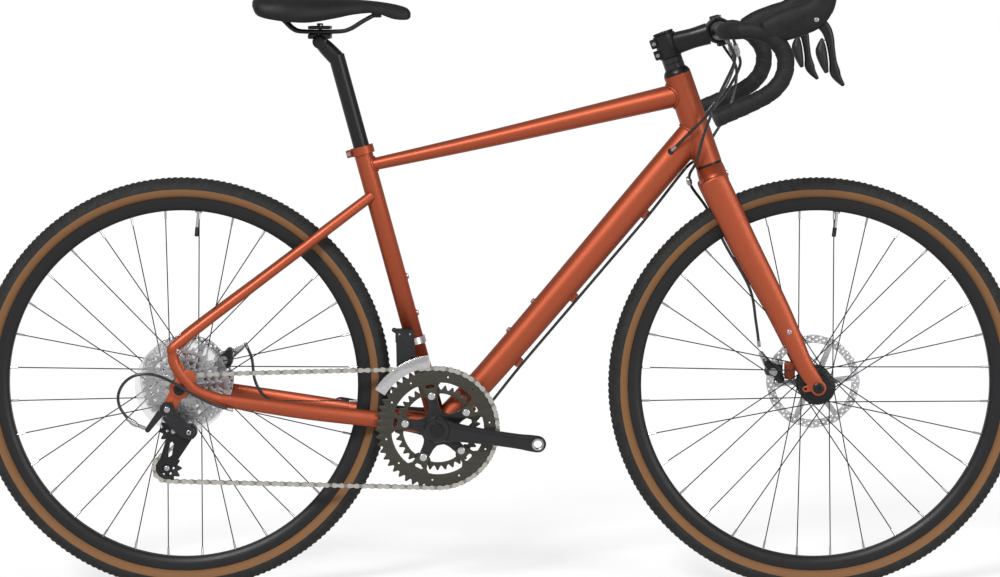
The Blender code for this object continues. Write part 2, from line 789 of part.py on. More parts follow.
def chainring_bolt_places():
    turns = [SPIDER_ANGLE + 2.0 * math.pi * i / SPIDER_ARMS for i in range(SPIDER_ARMS)]
    return [Vector((x, 0.0, z)) for x, z in (polar(BB, BOLT_CIRCLE_RADIUS, t) for t in turns)]


def bolt_holes(radius):
    return [circle(place, radius, 8) for place in chainring_bolt_places()]


def crank_arms(parent):
    face = CRANK_FACE_Y + CRANK_BOSS_PROUD
    for name, side in (("right_crank", -1), ("left_crank", 1)):
        turn = CRANK_ANGLE if side < 0 else CRANK_ANGLE + math.pi
        x, z = polar(BB, CRANK_LENGTH, turn)
        end = Vector((x, 0.0, z))
        boss = pin(BB, 0.0400, face, 0.0215, 16)
        arm = crank_arm(end)
        made = node(name, [boss if side > 0 else mirrored(boss)], "black metal", parent)
        joined(made, arm if side > 0 else mirrored(arm))
        if side < 0:
            low = RING_Y + RING_HALF + CLEAR
            high = SMALL_RING_Y - RING_HALF - CLEAR
            joined(made, plate(spider_outline(), low, high, bolt_holes(RING_BOLT_RADIUS + CLEAR)))
        cut(made, pin(BB, -0.1, 0.1, SPINDLE_RADIUS + CLEAR))
        cut(made, pin(end, -0.1, 0.1, PEDAL_HOLE_RADIUS))


def chainring(name, teeth, y, opening, parent):
    """A chainring with five inward tabs for its bolts."""
    hole = []
    for i in range(SPIDER_ARMS):
        turn = SPIDER_ANGLE + 2.0 * math.pi * i / SPIDER_ARMS
        for offset, radius in ((-15.0, opening), (-9.0, 0.0485), (9.0, 0.0485), (15.0, opening)):
            hole.append(polar(BB, radius, turn + math.radians(offset)))
        hole.append(polar(BB, opening, turn + math.radians(29.0)))
        hole.append(polar(BB, opening, turn + math.radians(43.0)))
    outline = toothed(BB, teeth)
    ring = plate(outline, y - RING_HALF, y + RING_HALF, [hole, *bolt_holes(RING_BOLT_RADIUS + CLEAR)])
    return node(name, [ring], "ring grey", parent)


def chainring_bolts():
    """Five bolts with a head outside the outer ring and a nut inside the inner ring."""
    face = RING_Y - RING_HALF
    inner_face = SMALL_RING_Y + RING_HALF + CLEAR
    stations = (
        (face - 0.0016, 0.0058),
        (face + 0.0003, 0.0058),
        (face + 0.0003, RING_BOLT_RADIUS),
        (inner_face, RING_BOLT_RADIUS),
        (inner_face, 0.0052),
        (inner_face + 0.0014, 0.0052),
    )
    return [spun(place, stations, 6) for place in chainring_bolt_places()]


def crankset():
    parent = body("crank_axis", BB)
    crank_spindle(parent)
    crank_arms(parent)
    outer = chainring("outer_chainring", RING_TEETH, RING_Y, 0.0775, parent)
    shaped(outer, chainring_bolts(), "UNION")
    chainring("inner_chainring", SMALL_RING_TEETH, SMALL_RING_Y, 0.0580, parent)


# ---------------------------------------------------------------- wheels


def tyre(name, centre, parent):
    """An open casing, its beads between the rim's flanges."""
    half = TYRE_SECTION / 2
    middle = BEAD_RADIUS + half
    bead_half = RIM_WIDTH / 2 - RIM_WALL - CLEAR
    bead_low = BEAD_RADIUS + CLEAR
    above_rim = RIM_RADIUS + CLEAR
    outer_turns = [math.radians(turn) for turn in (-30.0, 0.0, 45.0)]
    outer = [(bead_half, bead_low), (bead_half, above_rim)]
    outer += [(half * math.cos(t), middle + half * math.sin(t)) for t in outer_turns]
    inner_half = half - TYRE_WALL
    inner = [
        (bead_half - TYRE_WALL, bead_low),
        (bead_half - TYRE_WALL, above_rim + TYRE_WALL),
        (inner_half, middle),
    ]
    profile = outer + [(0.0, middle + half)] + [(-y, radius) for y, radius in outer[::-1]]
    profile += [(-y, radius) for y, radius in inner] + [(0.0, middle + inner_half)]
    profile += inner[::-1]
    node(name, [turned(profile, centre, WHEEL_STEPS)], "rubber", parent)


def rim(name, centre, parent):
    half = RIM_WIDTH / 2
    shoulder = BEAD_RADIUS - 0.0060
    spine = 0.0065
    low = RIM_INNER_RADIUS
    inner_half = half - RIM_WALL
    profile = [
        (half, RIM_RADIUS),
        (half, shoulder),
        (spine, low),
        (-spine, low),
        (-half, shoulder),
        (-half, RIM_RADIUS),
        (-inner_half, RIM_RADIUS),
        (-inner_half, shoulder + 0.0006),
        (-spine + 0.0010, low + RIM_WALL),
        (spine - 0.0010, low + RIM_WALL),
        (inner_half, shoulder + 0.0006),
        (inner_half, RIM_RADIUS),
    ]
    node(name, [turned(profile, centre, WHEEL_STEPS)], "dark rim", parent)


def spokes(centre, left_y, right_y):
    """Thirty-two spokes laced three-cross, from alternate faces of their flange."""
    beside = FLANGE_THICK / 2 + SPOKE_RADIUS / 2
    rim_low = RIM_INNER_RADIUS * math.cos(math.pi / WHEEL_STEPS) - 2 * CLEAR
    between = 2.0 * math.pi / SPOKES
    lean = SPOKE_CROSSES * 2.0 * between
    solids = []
    for i in range(SPOKES):
        left = i % 2 == 0
        trailing = i // 2 % 2 == 0
        flange_y = left_y if left else right_y
        outward = 1.0 if left else -1.0
        face = outward if trailing else -outward
        rim_turn = (i + 0.5) * between
        hub_turn = rim_turn + (lean if trailing else -lean)
        hub_x, hub_z = polar(centre, SPOKE_CIRCLE, hub_turn)
        rim_x, rim_z = polar(centre, rim_low, rim_turn)
        start = Vector((hub_x, flange_y + face * beside, hub_z))
        end = Vector((rim_x, outward * RIM_HOLE_Y + face * SPOKE_RADIUS, rim_z))
        solids.append(rod(start, end, SPOKE_RADIUS, 4))
    return solids


def hub(name, centre, flanges, ends, rotor_y, parent):
    """A hub shell with two flanges, the spigot for the brake rotor, and the laced spokes."""
    left_y, right_y = flanges
    left_end, right_end = ends
    face = rotor_y - ROTOR_HALF - CLEAR
    flange = FLANGE_THICK / 2
    barrel = HUB_BARREL_RADIUS
    spigot = ROTOR_HOLE - CLEAR
    profile = [
        (right_end, HUB_BORE),
        (right_end, barrel + 0.0040),
        (right_y - flange, barrel + 0.0040),
        (right_y - flange, FLANGE_RADIUS),
        (right_y + flange, FLANGE_RADIUS),
        (right_y + flange, barrel + 0.0020),
        (0.0, barrel - 0.0020),
        (left_y - flange, barrel + 0.0020),
        (left_y - flange, FLANGE_RADIUS),
        (left_y + flange, FLANGE_RADIUS),
        (left_y + flange, barrel + 0.0030),
        (face, barrel + 0.0040),
        (face, spigot),
        (left_end, spigot),
        (left_end, HUB_BORE),
    ]
    made = node(name, [turned(profile, centre, 12)], "black metal", parent)
    shaped(made, spokes(centre, left_y, right_y), "UNION")


def rotor(name, centre, y, parent):
    """A disc brake rotor with six windows, and the ring that locks it to the hub."""
    inner_edge = ROTOR_RADIUS - ROTOR_TRACK
    windows = []
    for i in range(6):
        turn = math.radians(60.0 * i)
        low = [polar(centre, 0.0270, turn + math.radians(a)) for a in (12.0, 30.0, 48.0)]
        high = [polar(centre, inner_edge, turn + math.radians(a)) for a in (58.0, 42.0, 26.0, 10.0)]
        windows.append(low + high)
    holes = [circle(centre, ROTOR_HOLE, 12), *windows]
    disc = plate(circle(centre, ROTOR_RADIUS, 28), y - ROTOR_HALF, y + ROTOR_HALF, holes)
    made = node(name, [disc], "silver", parent)
    joined(made, ring_about(centre, y, y + ROTOR_HALF + 0.0030, 0.0190, ROTOR_HOLE + 0.0008, 12))


def axle(name, centre, face, thick, ends, parent=None):
    """A through axle with its end caps and the inner parts of the two hub bearings."""
    outside = face + CLEAR + thick + CLEAR
    end = outside + 0.0040
    bearing = HUB_BORE - 2 * CLEAR
    stations = [(-end, 0.0090), (-outside, 0.0090), (-outside, AXLE_RADIUS)]
    left_end, right_end = ends
    for outward, hub_end in ((-1.0, -right_end), (1.0, left_end)):
        cap_low, cap_high = hub_end + TURN_GAP, face - CLEAR
        seat_low, seat_high = hub_end - 0.0005 - BEARING_WIDTH, hub_end - 0.0005
        row = [
            (cap_high, AXLE_RADIUS),
            (cap_high, 0.0110),
            (cap_low, 0.0110),
            (cap_low, AXLE_RADIUS + 0.0010),
            (seat_high, AXLE_RADIUS + 0.0010),
            (seat_high, bearing),
            (seat_low, bearing),
            (seat_low, AXLE_RADIUS),
        ]
        row = [(outward * y, radius) for y, radius in row]
        stations += row if outward < 0 else row[::-1]
    stations += [(outside, AXLE_RADIUS), (outside, 0.0090), (end, 0.0090)]
    node(name, [spun(centre, stations, 8)], "black metal", parent)


FRONT_FLANGES = (0.0240, -0.0340)
REAR_FLANGES = (0.0340, -0.0165)
FRONT_HUB_ENDS = (0.0445, -0.0445)
REAR_HUB_ENDS = (0.0580, -0.0205)


def front_wheel(steering):
    parent = body("front_wheel_axis", FRONT_AXLE, steering)
    tyre("front_tyre", FRONT_AXLE, parent)
    rim("front_rim", FRONT_AXLE, parent)
    hub("front_hub", FRONT_AXLE, FRONT_FLANGES, FRONT_HUB_ENDS, FRONT_ROTOR_Y, parent)
    rotor("front_rotor", FRONT_AXLE, FRONT_ROTOR_Y, parent)
    axle("front_axle", FRONT_AXLE, FRONT_FACE_Y, FORK_TAB_THICK, FRONT_HUB_ENDS, steering)


def rear_wheel():
    parent = body("rear_wheel_axis", REAR_AXLE)
    tyre("rear_tyre", REAR_AXLE, parent)
    rim("rear_rim", REAR_AXLE, parent)
    hub("rear_hub", REAR_AXLE, REAR_FLANGES, REAR_HUB_ENDS, REAR_ROTOR_Y, parent)
    rotor("rear_rotor", REAR_AXLE, REAR_ROTOR_Y, parent)
    guard_y = REAR_FLANGES[1] - FLANGE_THICK / 2 - 2 * SPOKE_RADIUS - 3 * CLEAR
    guard = ring_about(REAR_AXLE, guard_y - 0.0012, guard_y, GUARD_RADIUS, 0.0185, 24)
    node("spoke_guard", [guard], "clear plastic", parent)
    axle("rear_axle", REAR_AXLE, REAR_FACE_Y, DROPOUT_THICK, (REAR_HUB_ENDS[0], -FREEHUB_END))


FREEHUB_END = -SMALLEST_SPROCKET_Y + 0.0030


def cassette():
    """The freehub body and its eight sprockets, as discs with the radius of their teeth."""
    parent = body("cassette_axis", REAR_AXLE)
    start = REAR_HUB_ENDS[1] - CLEAR
    profile = [(start, HUB_BORE), (-FREEHUB_END, HUB_BORE), (-FREEHUB_END, FREEHUB_RADIUS)]
    for i, teeth in enumerate(SPROCKETS):
        y = SMALLEST_SPROCKET_Y + i * SPROCKET_PITCH
        low, high = y - SPROCKET_HALF, y + SPROCKET_HALF
        tip = tip_radius(teeth)
        profile += [(low, FREEHUB_RADIUS), (low, tip), (high, tip), (high, FREEHUB_RADIUS)]
    profile.append((start, FREEHUB_RADIUS))
    node("cassette", [turned(profile, REAR_AXLE, 16)], "silver", parent)


# ---------------------------------------------------------------- chain and derailleurs


def chain():
    """The plates of a closed loop over the outer ring and the smallest sprocket, and rollers."""
    drive_y = SMALLEST_SPROCKET_Y
    wheels = [
        (BB, pitch_radius(RING_TEETH), -1, RING_Y, tip_radius(RING_TEETH)),
        (TENSION, PULLEY_PITCH, -1, drive_y, tip_radius(PULLEY_TEETH)),
        (GUIDE, PULLEY_PITCH, 1, drive_y, tip_radius(PULLEY_TEETH)),
        (REAR_AXLE, pitch_radius(SPROCKETS[0]), -1, drive_y, tip_radius(SPROCKETS[0])),
    ]
    loops = belt([wheel[:3] for wheel in wheels], math.radians(24.0))
    solids = []
    for side in (-1.0, 1.0):
        rings = []
        for wheel, rows in zip(wheels, loops):
            for x, z, turn in rows:
                out = Vector((math.cos(turn), 0.0, math.sin(turn))) * CHAIN_PLATE_HALF
                place = Vector((x, wheel[3], z))
                near = Y_AXIS * side * CHAIN_INNER_HALF
                far = Y_AXIS * side * CHAIN_OUTER_HALF
                inside = [place - out + near, place + out + near]
                rings.append(inside + [place + out + far, place - out + far])
        solids.append(loft(rings, loop=True))
    made = node("chain", solids, "chain steel")
    pins = []
    for i, rows in enumerate(loops):
        if i in (1, 2):
            continue
        wheel, after = wheels[i], wheels[(i + 1) % len(wheels)]
        start = Vector((rows[-1][0], wheel[3], rows[-1][1]))
        first = loops[(i + 1) % len(wheels)][0]
        end = Vector((first[0], after[3], first[1]))
        pins += rollers(start, end, clear_of(wheel), clear_of(after))
    shaped(made, pins, "UNION")


def clear_of(wheel):
    """How far past its tangent point a roller clears a wheel's teeth."""
    reach = wheel[4] + CHAIN_ROLLER_RADIUS + CLEAR
    return math.sqrt(reach**2 - wheel[1] ** 2)


def rollers(start, end, skip_start, skip_end):
    """Every second roller of a straight run, clear of the teeth at its ends."""
    along = (end - start).normalized()
    length = (end - start).length
    gap = 2 * CHAIN_PITCH
    number = math.ceil(skip_start / gap)
    half = Y_AXIS * (CHAIN_INNER_HALF + CHAIN_OUTER_HALF) / 2
    solids = []
    while number * gap < length - skip_end:
        place = start + along * (number * gap)
        solids.append(rod(place - half, place + half, CHAIN_ROLLER_RADIUS, 4))
        number += 1
    return solids


CAGE_PLATE = 0.0015
CAGE_HALF = 0.0037
OUTER_PLATE_Y = SMALLEST_SPROCKET_Y - CAGE_HALF - CAGE_PLATE
KNUCKLE_BORE = 0.0046
PULLEY_BOLT_RADIUS = 0.0024


def pulleys(cage):
    for name, centre in (("guide_pulley", GUIDE), ("tension_pulley", TENSION)):
        parent = body(f"{name}_axis", centre, cage)
        holes = [circle(centre, PULLEY_BOLT_RADIUS + 2 * CLEAR, 8)]
        y = SMALLEST_SPROCKET_Y
        outline = toothed(centre, PULLEY_TEETH)
        node(name, [plate(outline, y - 0.0011, y + 0.0011, holes)], "black metal", parent)


def derailleur_cage():
    """Two plates held apart by the pulley bolts, on the lower knuckle's pivot."""
    cage = body("cage_axis", CAGE_PIVOT)
    inner_low = SMALLEST_SPROCKET_Y + CAGE_HALF
    inner = wrapped([(TENSION, 0.0080), (GUIDE, 0.0080)])
    outer = wrapped([(TENSION, 0.0080), (CAGE_PIVOT, 0.0110), (GUIDE, 0.0080)])
    outer_plate = plate(outer, OUTER_PLATE_Y, OUTER_PLATE_Y + CAGE_PLATE)
    made = node("derailleur_cage", [outer_plate], "black metal", cage)
    joined(made, pin(CAGE_PIVOT, OUTER_PLATE_Y - 0.0150, OUTER_PLATE_Y + 0.0008, 0.0042))
    for place in (GUIDE, TENSION):
        joined(made, stepped_bolt(place, OUTER_PLATE_Y + 0.0002, inner_low + 0.0008, PULLEY_BOLT_RADIUS))
    joined(made, plate(inner, inner_low, inner_low + CAGE_PLATE))
    pulleys(cage)


def stepped_bolt(place, head, end, radius):
    """A bolt along Y with its head outside, at -Y."""
    return spun(place, ((head - 0.0018, 0.0040), (head, 0.0040), (head, radius), (end, radius)), 8)


def rear_derailleur_linkage():
    """The upper knuckle and its bolt on the hanger, the link, and the lower knuckle."""
    outside = -STAY_Y - DROPOUT_THICK / 2 - CLEAR
    knuckle_low = outside - 0.0050
    link_low = knuckle_low - 0.0035
    face = OUTER_PLATE_Y - CLEAR
    upper = pin(HANGER, knuckle_low, outside, 0.0125)
    lower = pin(CAGE_PIVOT, knuckle_low + 0.0005, face, 0.0130)
    link = plate(wrapped([(HANGER, 0.0085), (CAGE_PIVOT, 0.0100)]), link_low, knuckle_low + 0.0010)
    stop_end = HANGER + Vector((-0.0330, 0.0, -0.0345))
    stop = wrapped([(stop_end, 0.0045), (HANGER + Vector((-0.0120, 0.0, -0.0070)), 0.0060)])
    bolt_end = -STAY_Y + DROPOUT_THICK / 2
    made = node("rear_derailleur_linkage", [upper], "black metal")
    joined(
        made,
        pin(HANGER, link_low - 0.0015, bolt_end, HANGER_BOLT_RADIUS),
        link,
        lower,
        plate(stop, knuckle_low + 0.0003, knuckle_low + 0.0045),
    )
    cut(made, pin(CAGE_PIVOT, OUTER_PLATE_Y - 0.0155, 0.0, KNUCKLE_BORE))


FD_ALONG = 0.1477
FD_PLATE_OUTER = 0.1235
FD_PLATE_INNER = 0.1045
FD_CAGE_HALF = 0.0060
FD_PLATE = 0.0012
FD_PIN = 0.0020
FD_PIN_PLACES = (Vector((-0.1680, 0.0, 0.4405)), Vector((-0.1500, 0.0, 0.4405)))


def front_derailleur_clamp():
    """The band on the seat tube, its body and the two pins on which the cage slides."""
    half = 0.0060
    inner = SEAT_TUBE_RADIUS + CLEAR
    ends = (seat_point(FD_ALONG - half), seat_point(FD_ALONG + half))
    band = sleeve(*ends, inner + 0.0025, inner, TUBE_SIDES)
    made = node("front_derailleur_clamp", [band], "silver")
    ear = RING_Y + FD_CAGE_HALF
    body_low = ear + FD_PLATE + 0.0018
    body_centre = Vector((-0.1600, (body_low - 0.0150) / 2, 0.4360))
    joined(made, block(body_centre, 0.0160, (-0.0150 - body_low) / 2, 0.0130))
    for place in FD_PIN_PLACES:
        joined(made, pin(place, ear - 0.0030, body_low + 0.0040, FD_PIN, 8))
    cut(made, seat_cylinder(inner))


def front_derailleur_cage():
    """Two curved plates either side of the chain, bridged above it."""
    slide = Vector((FD_PIN_PLACES[0].x, RING_Y, FD_PIN_PLACES[0].z))
    parent = body("front_derailleur_slide", slide)
    start, end = math.radians(96.5), math.radians(147.5)
    sector = arc(BB, FD_PLATE_OUTER, start, end, 6) + arc(BB, FD_PLATE_INNER, end, start, 6)
    inner_low = RING_Y + FD_CAGE_HALF
    outer = plate(sector, RING_Y - FD_CAGE_HALF - FD_PLATE, RING_Y - FD_CAGE_HALF)
    made = node("front_derailleur_cage", [outer], "silver", parent)
    joined(made, plate(sector, inner_low, inner_low + FD_PLATE))
    for turn in (math.radians(101.0), math.radians(143.0)):
        x, z = polar(BB, FD_PLATE_OUTER - 0.0030, turn)
        along = Vector((math.sin(turn), 0.0, -math.cos(turn)))
        bridge = block(Vector((x, RING_Y, z)), 0.0045, FD_CAGE_HALF + FD_PLATE / 2, 0.0015, along)
        joined(made, bridge)
    ear_outline = [
        (FD_PIN_PLACES[0].x - 0.0060, 0.4470),
        (FD_PIN_PLACES[1].x + 0.0060, 0.4470),
        polar(BB, FD_PLATE_OUTER - 0.004, math.radians(108.0)),
        polar(BB, FD_PLATE_OUTER - 0.004, math.radians(125.0)),
    ]
    joined(made, plate(ear_outline, inner_low + 0.0001, inner_low + FD_PLATE - 0.0001))
    for place in FD_PIN_PLACES:
        cut(made, pin(place, -0.1, 0.0, FD_PIN + CLEAR, 8))


# ---------------------------------------------------------------- fork

FORK_TAB_THICK = 0.0070
CROWN_HIGH = HEAD_LOW - 0.0035
CROWN_LOW = HEAD_LOW - 0.0420
BLADE_ROWS = (
    # x, y, z, half width, half depth
    (0.3560, 0.0360, 0.7000, 0.0110, 0.0230),
    (0.3639, 0.0370, 0.6840, 0.0110, 0.0248),
    (0.4106, 0.0410, 0.5897, 0.0105, 0.0230),
    (0.4688, 0.0470, 0.4792, 0.0095, 0.0190),
    (0.5072, 0.0525, 0.3971, 0.0075, 0.0150),
    (0.5200, 0.0545, 0.3728, 0.0040, 0.0140),
    (0.5300, 0.0540, 0.3590, 0.0030, 0.0130),
)


def fork(steering):
    """The steerer, the crown and two blades that end in the axle's tabs."""
    steerer = sleeve(
        head_point(CROWN_HIGH - 0.004),
        head_point(STEM_HIGH - 0.003),
        STEERER_RADIUS,
        STEERER_RADIUS - STEERER_WALL,
        16,
    )
    made = node("fork", [steerer], "copper paint", steering)
    sizes = ((CROWN_LOW, 0.0440, 0.0245), (HEAD_LOW - 0.0200, 0.0420, 0.0240), (CROWN_HIGH, 0.0250, 0.0225))
    joined(made, limb([(*head_point(along), wide, deep) for along, wide, deep in sizes], 16))
    low = FRONT_FACE_Y + CLEAR
    tab_outline = wrapped([(FRONT_AXLE, 0.0130), (FRONT_AXLE + Vector((-0.010, 0.0, 0.014)), 0.0110)])
    tab = plate(tab_outline, low, low + FORK_TAB_THICK)
    blade = limb(BLADE_ROWS, 10)
    for piece in (blade, mirrored(blade), tab, mirrored(tab)):
        joined(made, piece)
    lug_end = FRONT_CALIPER.x + CALIPER_HALF + CLEAR
    lug_centre = Vector(((lug_end + 0.5050) / 2, 0.0540, FRONT_CALIPER.z))
    joined(made, block(lug_centre, (0.5050 - lug_end) / 2, 0.0045, 0.0150))
    cut(made, pin(FRONT_AXLE, -0.1, 0.1, AXLE_RADIUS + CLEAR))


def headset(steering):
    """The lower bearing on its crown race; the upper one with its cover and spacers; the cap."""
    bore = STEERER_RADIUS + CLEAR
    cup = (HEAD_TUBE_RADIUS - HEAD_TUBE_WALL) * math.cos(math.pi / HEAD_SIDES) - CLEAR
    height = 0.0070
    lower = [
        (CROWN_HIGH + CLEAR, HEAD_TUBE_RADIUS - 0.0010),
        (HEAD_LOW - CLEAR, HEAD_TUBE_RADIUS - 0.0010),
        (HEAD_LOW - CLEAR, cup),
        (HEAD_LOW + height, cup),
    ]
    node("headset_lower_bearing", [collar(lower, bore)], "black metal", steering)
    upper = [
        (HEAD_HIGH - height, cup),
        (HEAD_HIGH + CLEAR, cup),
        (HEAD_HIGH + CLEAR, HEAD_TUBE_RADIUS),
        (SPACERS_LOW, SPACER_RADIUS + 0.0010),
    ]
    upper += [(SPACERS_LOW, SPACER_RADIUS), (STEM_LOW - CLEAR, SPACER_RADIUS)]
    node("headset_upper_bearing", [collar(upper, bore)], "black metal", steering)
    cap = rod(head_point(STEM_HIGH + CLEAR), head_point(STEM_HIGH + 0.0050), SPACER_RADIUS, 16)
    node("steerer_cap", [cap], "black metal", steering)


# ---------------------------------------------------------------- stem, bar, tape

BAR_ROWS = (
    # y, x, z: from the clamp to the end of the drop, on the left
    (0.0000, 0.3660, 0.9474),
    (0.0300, 0.3660, 0.9474),
    (0.0600, 0.3660, 0.9474),
    (0.1450, 0.3660, 0.9478),
    (0.1780, 0.3690, 0.9484),
    (0.1980, 0.3850, 0.9492),
    (0.2060, 0.4114, 0.9490),
    (0.2075, 0.4370, 0.9395),
    (0.2085, 0.4560, 0.9170),
    (0.2100, 0.4605, 0.8944),
    (0.2120, 0.4540, 0.8704),
    (0.2150, 0.4352, 0.8496),
    (0.2180, 0.4030, 0.8320),
    (0.2210, 0.3628, 0.8144),
    (0.2220, 0.3483, 0.8080),
)
TAPE_START_ROW = 3
PLUG_THICK = 0.0045


def bar_path():
    """The left half of the bar through its clamp's real place: straight, then the drop's curve."""
    shift = BAR_CLAMP - Vector((BAR_ROWS[0][1], 0.0, BAR_ROWS[0][2]))
    rows = [(x + shift.x, y, z + shift.z) for y, x, z in BAR_ROWS]
    return rows[:TAPE_START_ROW] + smooth(rows[TAPE_START_ROW:], 2)


def bar_size(y):
    """The bar is thick in the stem and tapers to its hand size."""
    if y < 0.035:
        return BAR_CLAMP_RADIUS
    return BAR_RADIUS


def bar_rings(extra):
    """Rings round the left half of the bar, from its middle to its end."""
    path = [Vector(place) for place in bar_path()]
    axes = carried_axes(path, Z_AXIS)
    rings = []
    for place, (across, up) in zip(path, axes):
        radius = bar_size(place.y) + extra
        rings.append(oval(place, across, up, radius, radius, 8))
    return rings


def moved(ring, by):
    return [point + by for point in ring]


def handlebar(steering):
    left = bar_rings(0.0)
    right = [[Vector((p.x, -p.y, p.z)) for p in ring] for ring in left[:0:-1]]
    node("handlebar", [loft(right + left)], "black metal", steering)


def bar_tape(name, side, steering):
    """A sleeve of wound tape on one half of the bar, closed by the end plug."""
    outer = bar_rings(TAPE_THICK)[TAPE_START_ROW:]
    inner = bar_rings(CLEAR)[TAPE_START_ROW:]
    path = [Vector(place) for place in bar_path()[-2:]]
    onward = (path[1] - path[0]).normalized()
    outer.append(moved(outer[-1], onward * PLUG_THICK))
    plug = loft([moved(bar_rings(TAPE_THICK / 2)[-1], onward * CLEAR), moved(outer[-1], onward * CLEAR)])
    inner.append(moved(inner[-1], onward * PLUG_THICK))
    wound = loft(outer + inner[::-1], loop=True)
    made = node(name, [wound if side > 0 else mirrored(wound)], "tape", steering)
    joined(made, plug if side > 0 else mirrored(plug))


def clamp_outline(start, end, inner, outer):
    """Part of a ring round the handlebar, from one angle to another off the stem's direction."""
    low = STEM_RISE + math.radians(start)
    high = STEM_RISE + math.radians(end)
    return arc(BAR_CLAMP, outer, low, high, 8) + arc(BAR_CLAMP, inner, high, low, 8)


def stem(steering):
    """The body with its steerer clamp and pinch bolts, and the faceplate with its four bolts."""
    inner = STEERER_RADIUS + CLEAR
    outer = inner + 0.0045
    bar_bore = BAR_CLAMP_RADIUS + CLEAR
    shell = bar_bore + 0.0060
    half = 0.0210
    start = head_point(STEM_MIDDLE) + STEM_AHEAD * 0.0100
    end = BAR_CLAMP - STEM_AHEAD * (bar_bore + 0.0020)
    rows = [(*place, STEM_HALF_WIDTH, STEM_HALF_HEIGHT) for place in (start, end)]
    lug = block(head_point(STEM_MIDDLE, -outer - 0.0010), 0.0055, 0.0110, 0.0170, HEAD_AHEAD)
    clamp = rod(head_point(STEM_LOW), head_point(STEM_HIGH), outer, 16)
    made = node("stem", [clamp], "black metal", steering)
    joined(made, limb(rows, 12), plate(clamp_outline(93.0, 267.0, bar_bore, shell), -half, half), lug)
    for up in (-0.0100, 0.0100):
        joined(made, pin(head_point(STEM_MIDDLE + up, -outer - 0.0030), -0.0150, -0.0100, 0.0036, 8))
    cut(made, rod(head_point(STEM_LOW - 0.01), head_point(STEM_HIGH + 0.01), inner, 16))
    cut(made, pin(BAR_CLAMP, -0.1, 0.1, bar_bore, 16))
    face = plate(clamp_outline(-87.0, 87.0, bar_bore, shell), -half, half)
    plate_node = node("stem_faceplate", [face], "black metal", steering)
    for up in (-1.0, 1.0):
        for side in (-1.0, 1.0):
            foot = BAR_CLAMP + STEM_ACROSS * up * (shell - 0.0005) + Y_AXIS * side * 0.0150
            joined(plate_node, rod(foot + STEM_AHEAD * 0.0015, foot + STEM_AHEAD * 0.0105, 0.0036, 8))


# ---------------------------------------------------------------- hoods and levers

LEVER_PIVOT = Vector((0.5082, 0.0, 0.9672))
HOOD_ROWS = (
    # x, z, half width, half depth
    (0.4280, 0.9480, 0.0150, 0.0200),
    (0.4500, 0.9555, 0.0165, 0.0250),
    (0.4780, 0.9650, 0.0165, 0.0260),
    (0.5020, 0.9740, 0.0165, 0.0250),
    (0.5180, 0.9900, 0.0160, 0.0215),
    (0.5270, 1.0100, 0.0145, 0.0165),
    (0.5290, 1.0280, 0.0120, 0.0120),
    (0.5270, 1.0390, 0.0070, 0.0070),
)
LEVER_ROWS = (
    (0.5082, 0.9672, 0.0058, 0.0080),
    (0.5230, 0.9570, 0.0058, 0.0075),
    (0.5340, 0.9420, 0.0060, 0.0052),
    (0.5385, 0.9200, 0.0072, 0.0045),
    (0.5400, 0.8950, 0.0078, 0.0042),
    (0.5455, 0.8760, 0.0070, 0.0038),
    (0.5540, 0.8610, 0.0050, 0.0030),
)
PADDLE_ROWS = (
    (0.5262, 0.9400, 0.0040, 0.0024),
    (0.5288, 0.9250, 0.0060, 0.0026),
    (0.5300, 0.9050, 0.0100, 0.0026),
    (0.5295, 0.8850, 0.0095, 0.0022),
    (0.5300, 0.8760, 0.0060, 0.0018),
)


def at_hood(rows):
    return [(x, HOOD_Y, z, wide, deep) for x, z, wide, deep in rows]


def hood(name, side, steering):
    """A soft hood round the lever's bracket, slotted for the lever and seated on the bar."""
    first = limb(at_hood(HOOD_ROWS), 10)
    seat = loft(bar_rings(TAPE_THICK + CLEAR)[TAPE_START_ROW:])
    half = LEVER_HALF_WIDTH + CLEAR * 2
    slot = block(LEVER_PIVOT + Vector((0.0165, HOOD_Y, -0.0120)), 0.0290, half, 0.0230)
    made = node(name, [first if side > 0 else mirrored(first)], "hood", steering)
    for piece in (seat, slot):
        cut(made, piece if side > 0 else mirrored(piece))


def lever(side_name, side, steering):
    """A brake lever, and the shift paddle that hangs behind it."""
    pivot = LEVER_PIVOT + Y_AXIS * HOOD_Y * side
    parent = body(f"{side_name}_lever_axis", pivot, steering)
    blade = limb(at_hood(LEVER_ROWS), 8)
    node(f"{side_name}_brake_lever", [blade if side > 0 else mirrored(blade)], "black metal", parent)
    paddle_pivot = Vector((PADDLE_ROWS[0][0], HOOD_Y * side, PADDLE_ROWS[0][1]))
    paddle_body = body(f"{side_name}_paddle_axis", paddle_pivot, parent)
    paddle = limb(at_hood(PADDLE_ROWS), 8)
    node(f"{side_name}_shift_paddle", [paddle if side > 0 else mirrored(paddle)], "black metal", paddle_body)


# ---------------------------------------------------------------- brakes

CALIPER_HALF = 0.0210
FRONT_CALIPER = FRONT_AXLE + Vector((-0.0690, 0.0, 0.0170))
REAR_CALIPER = REAR_AXLE + Vector((0.0640, 0.0, 0.0360))
CALIPER_REACH = 0.0135
ARM_THICK = 0.0032


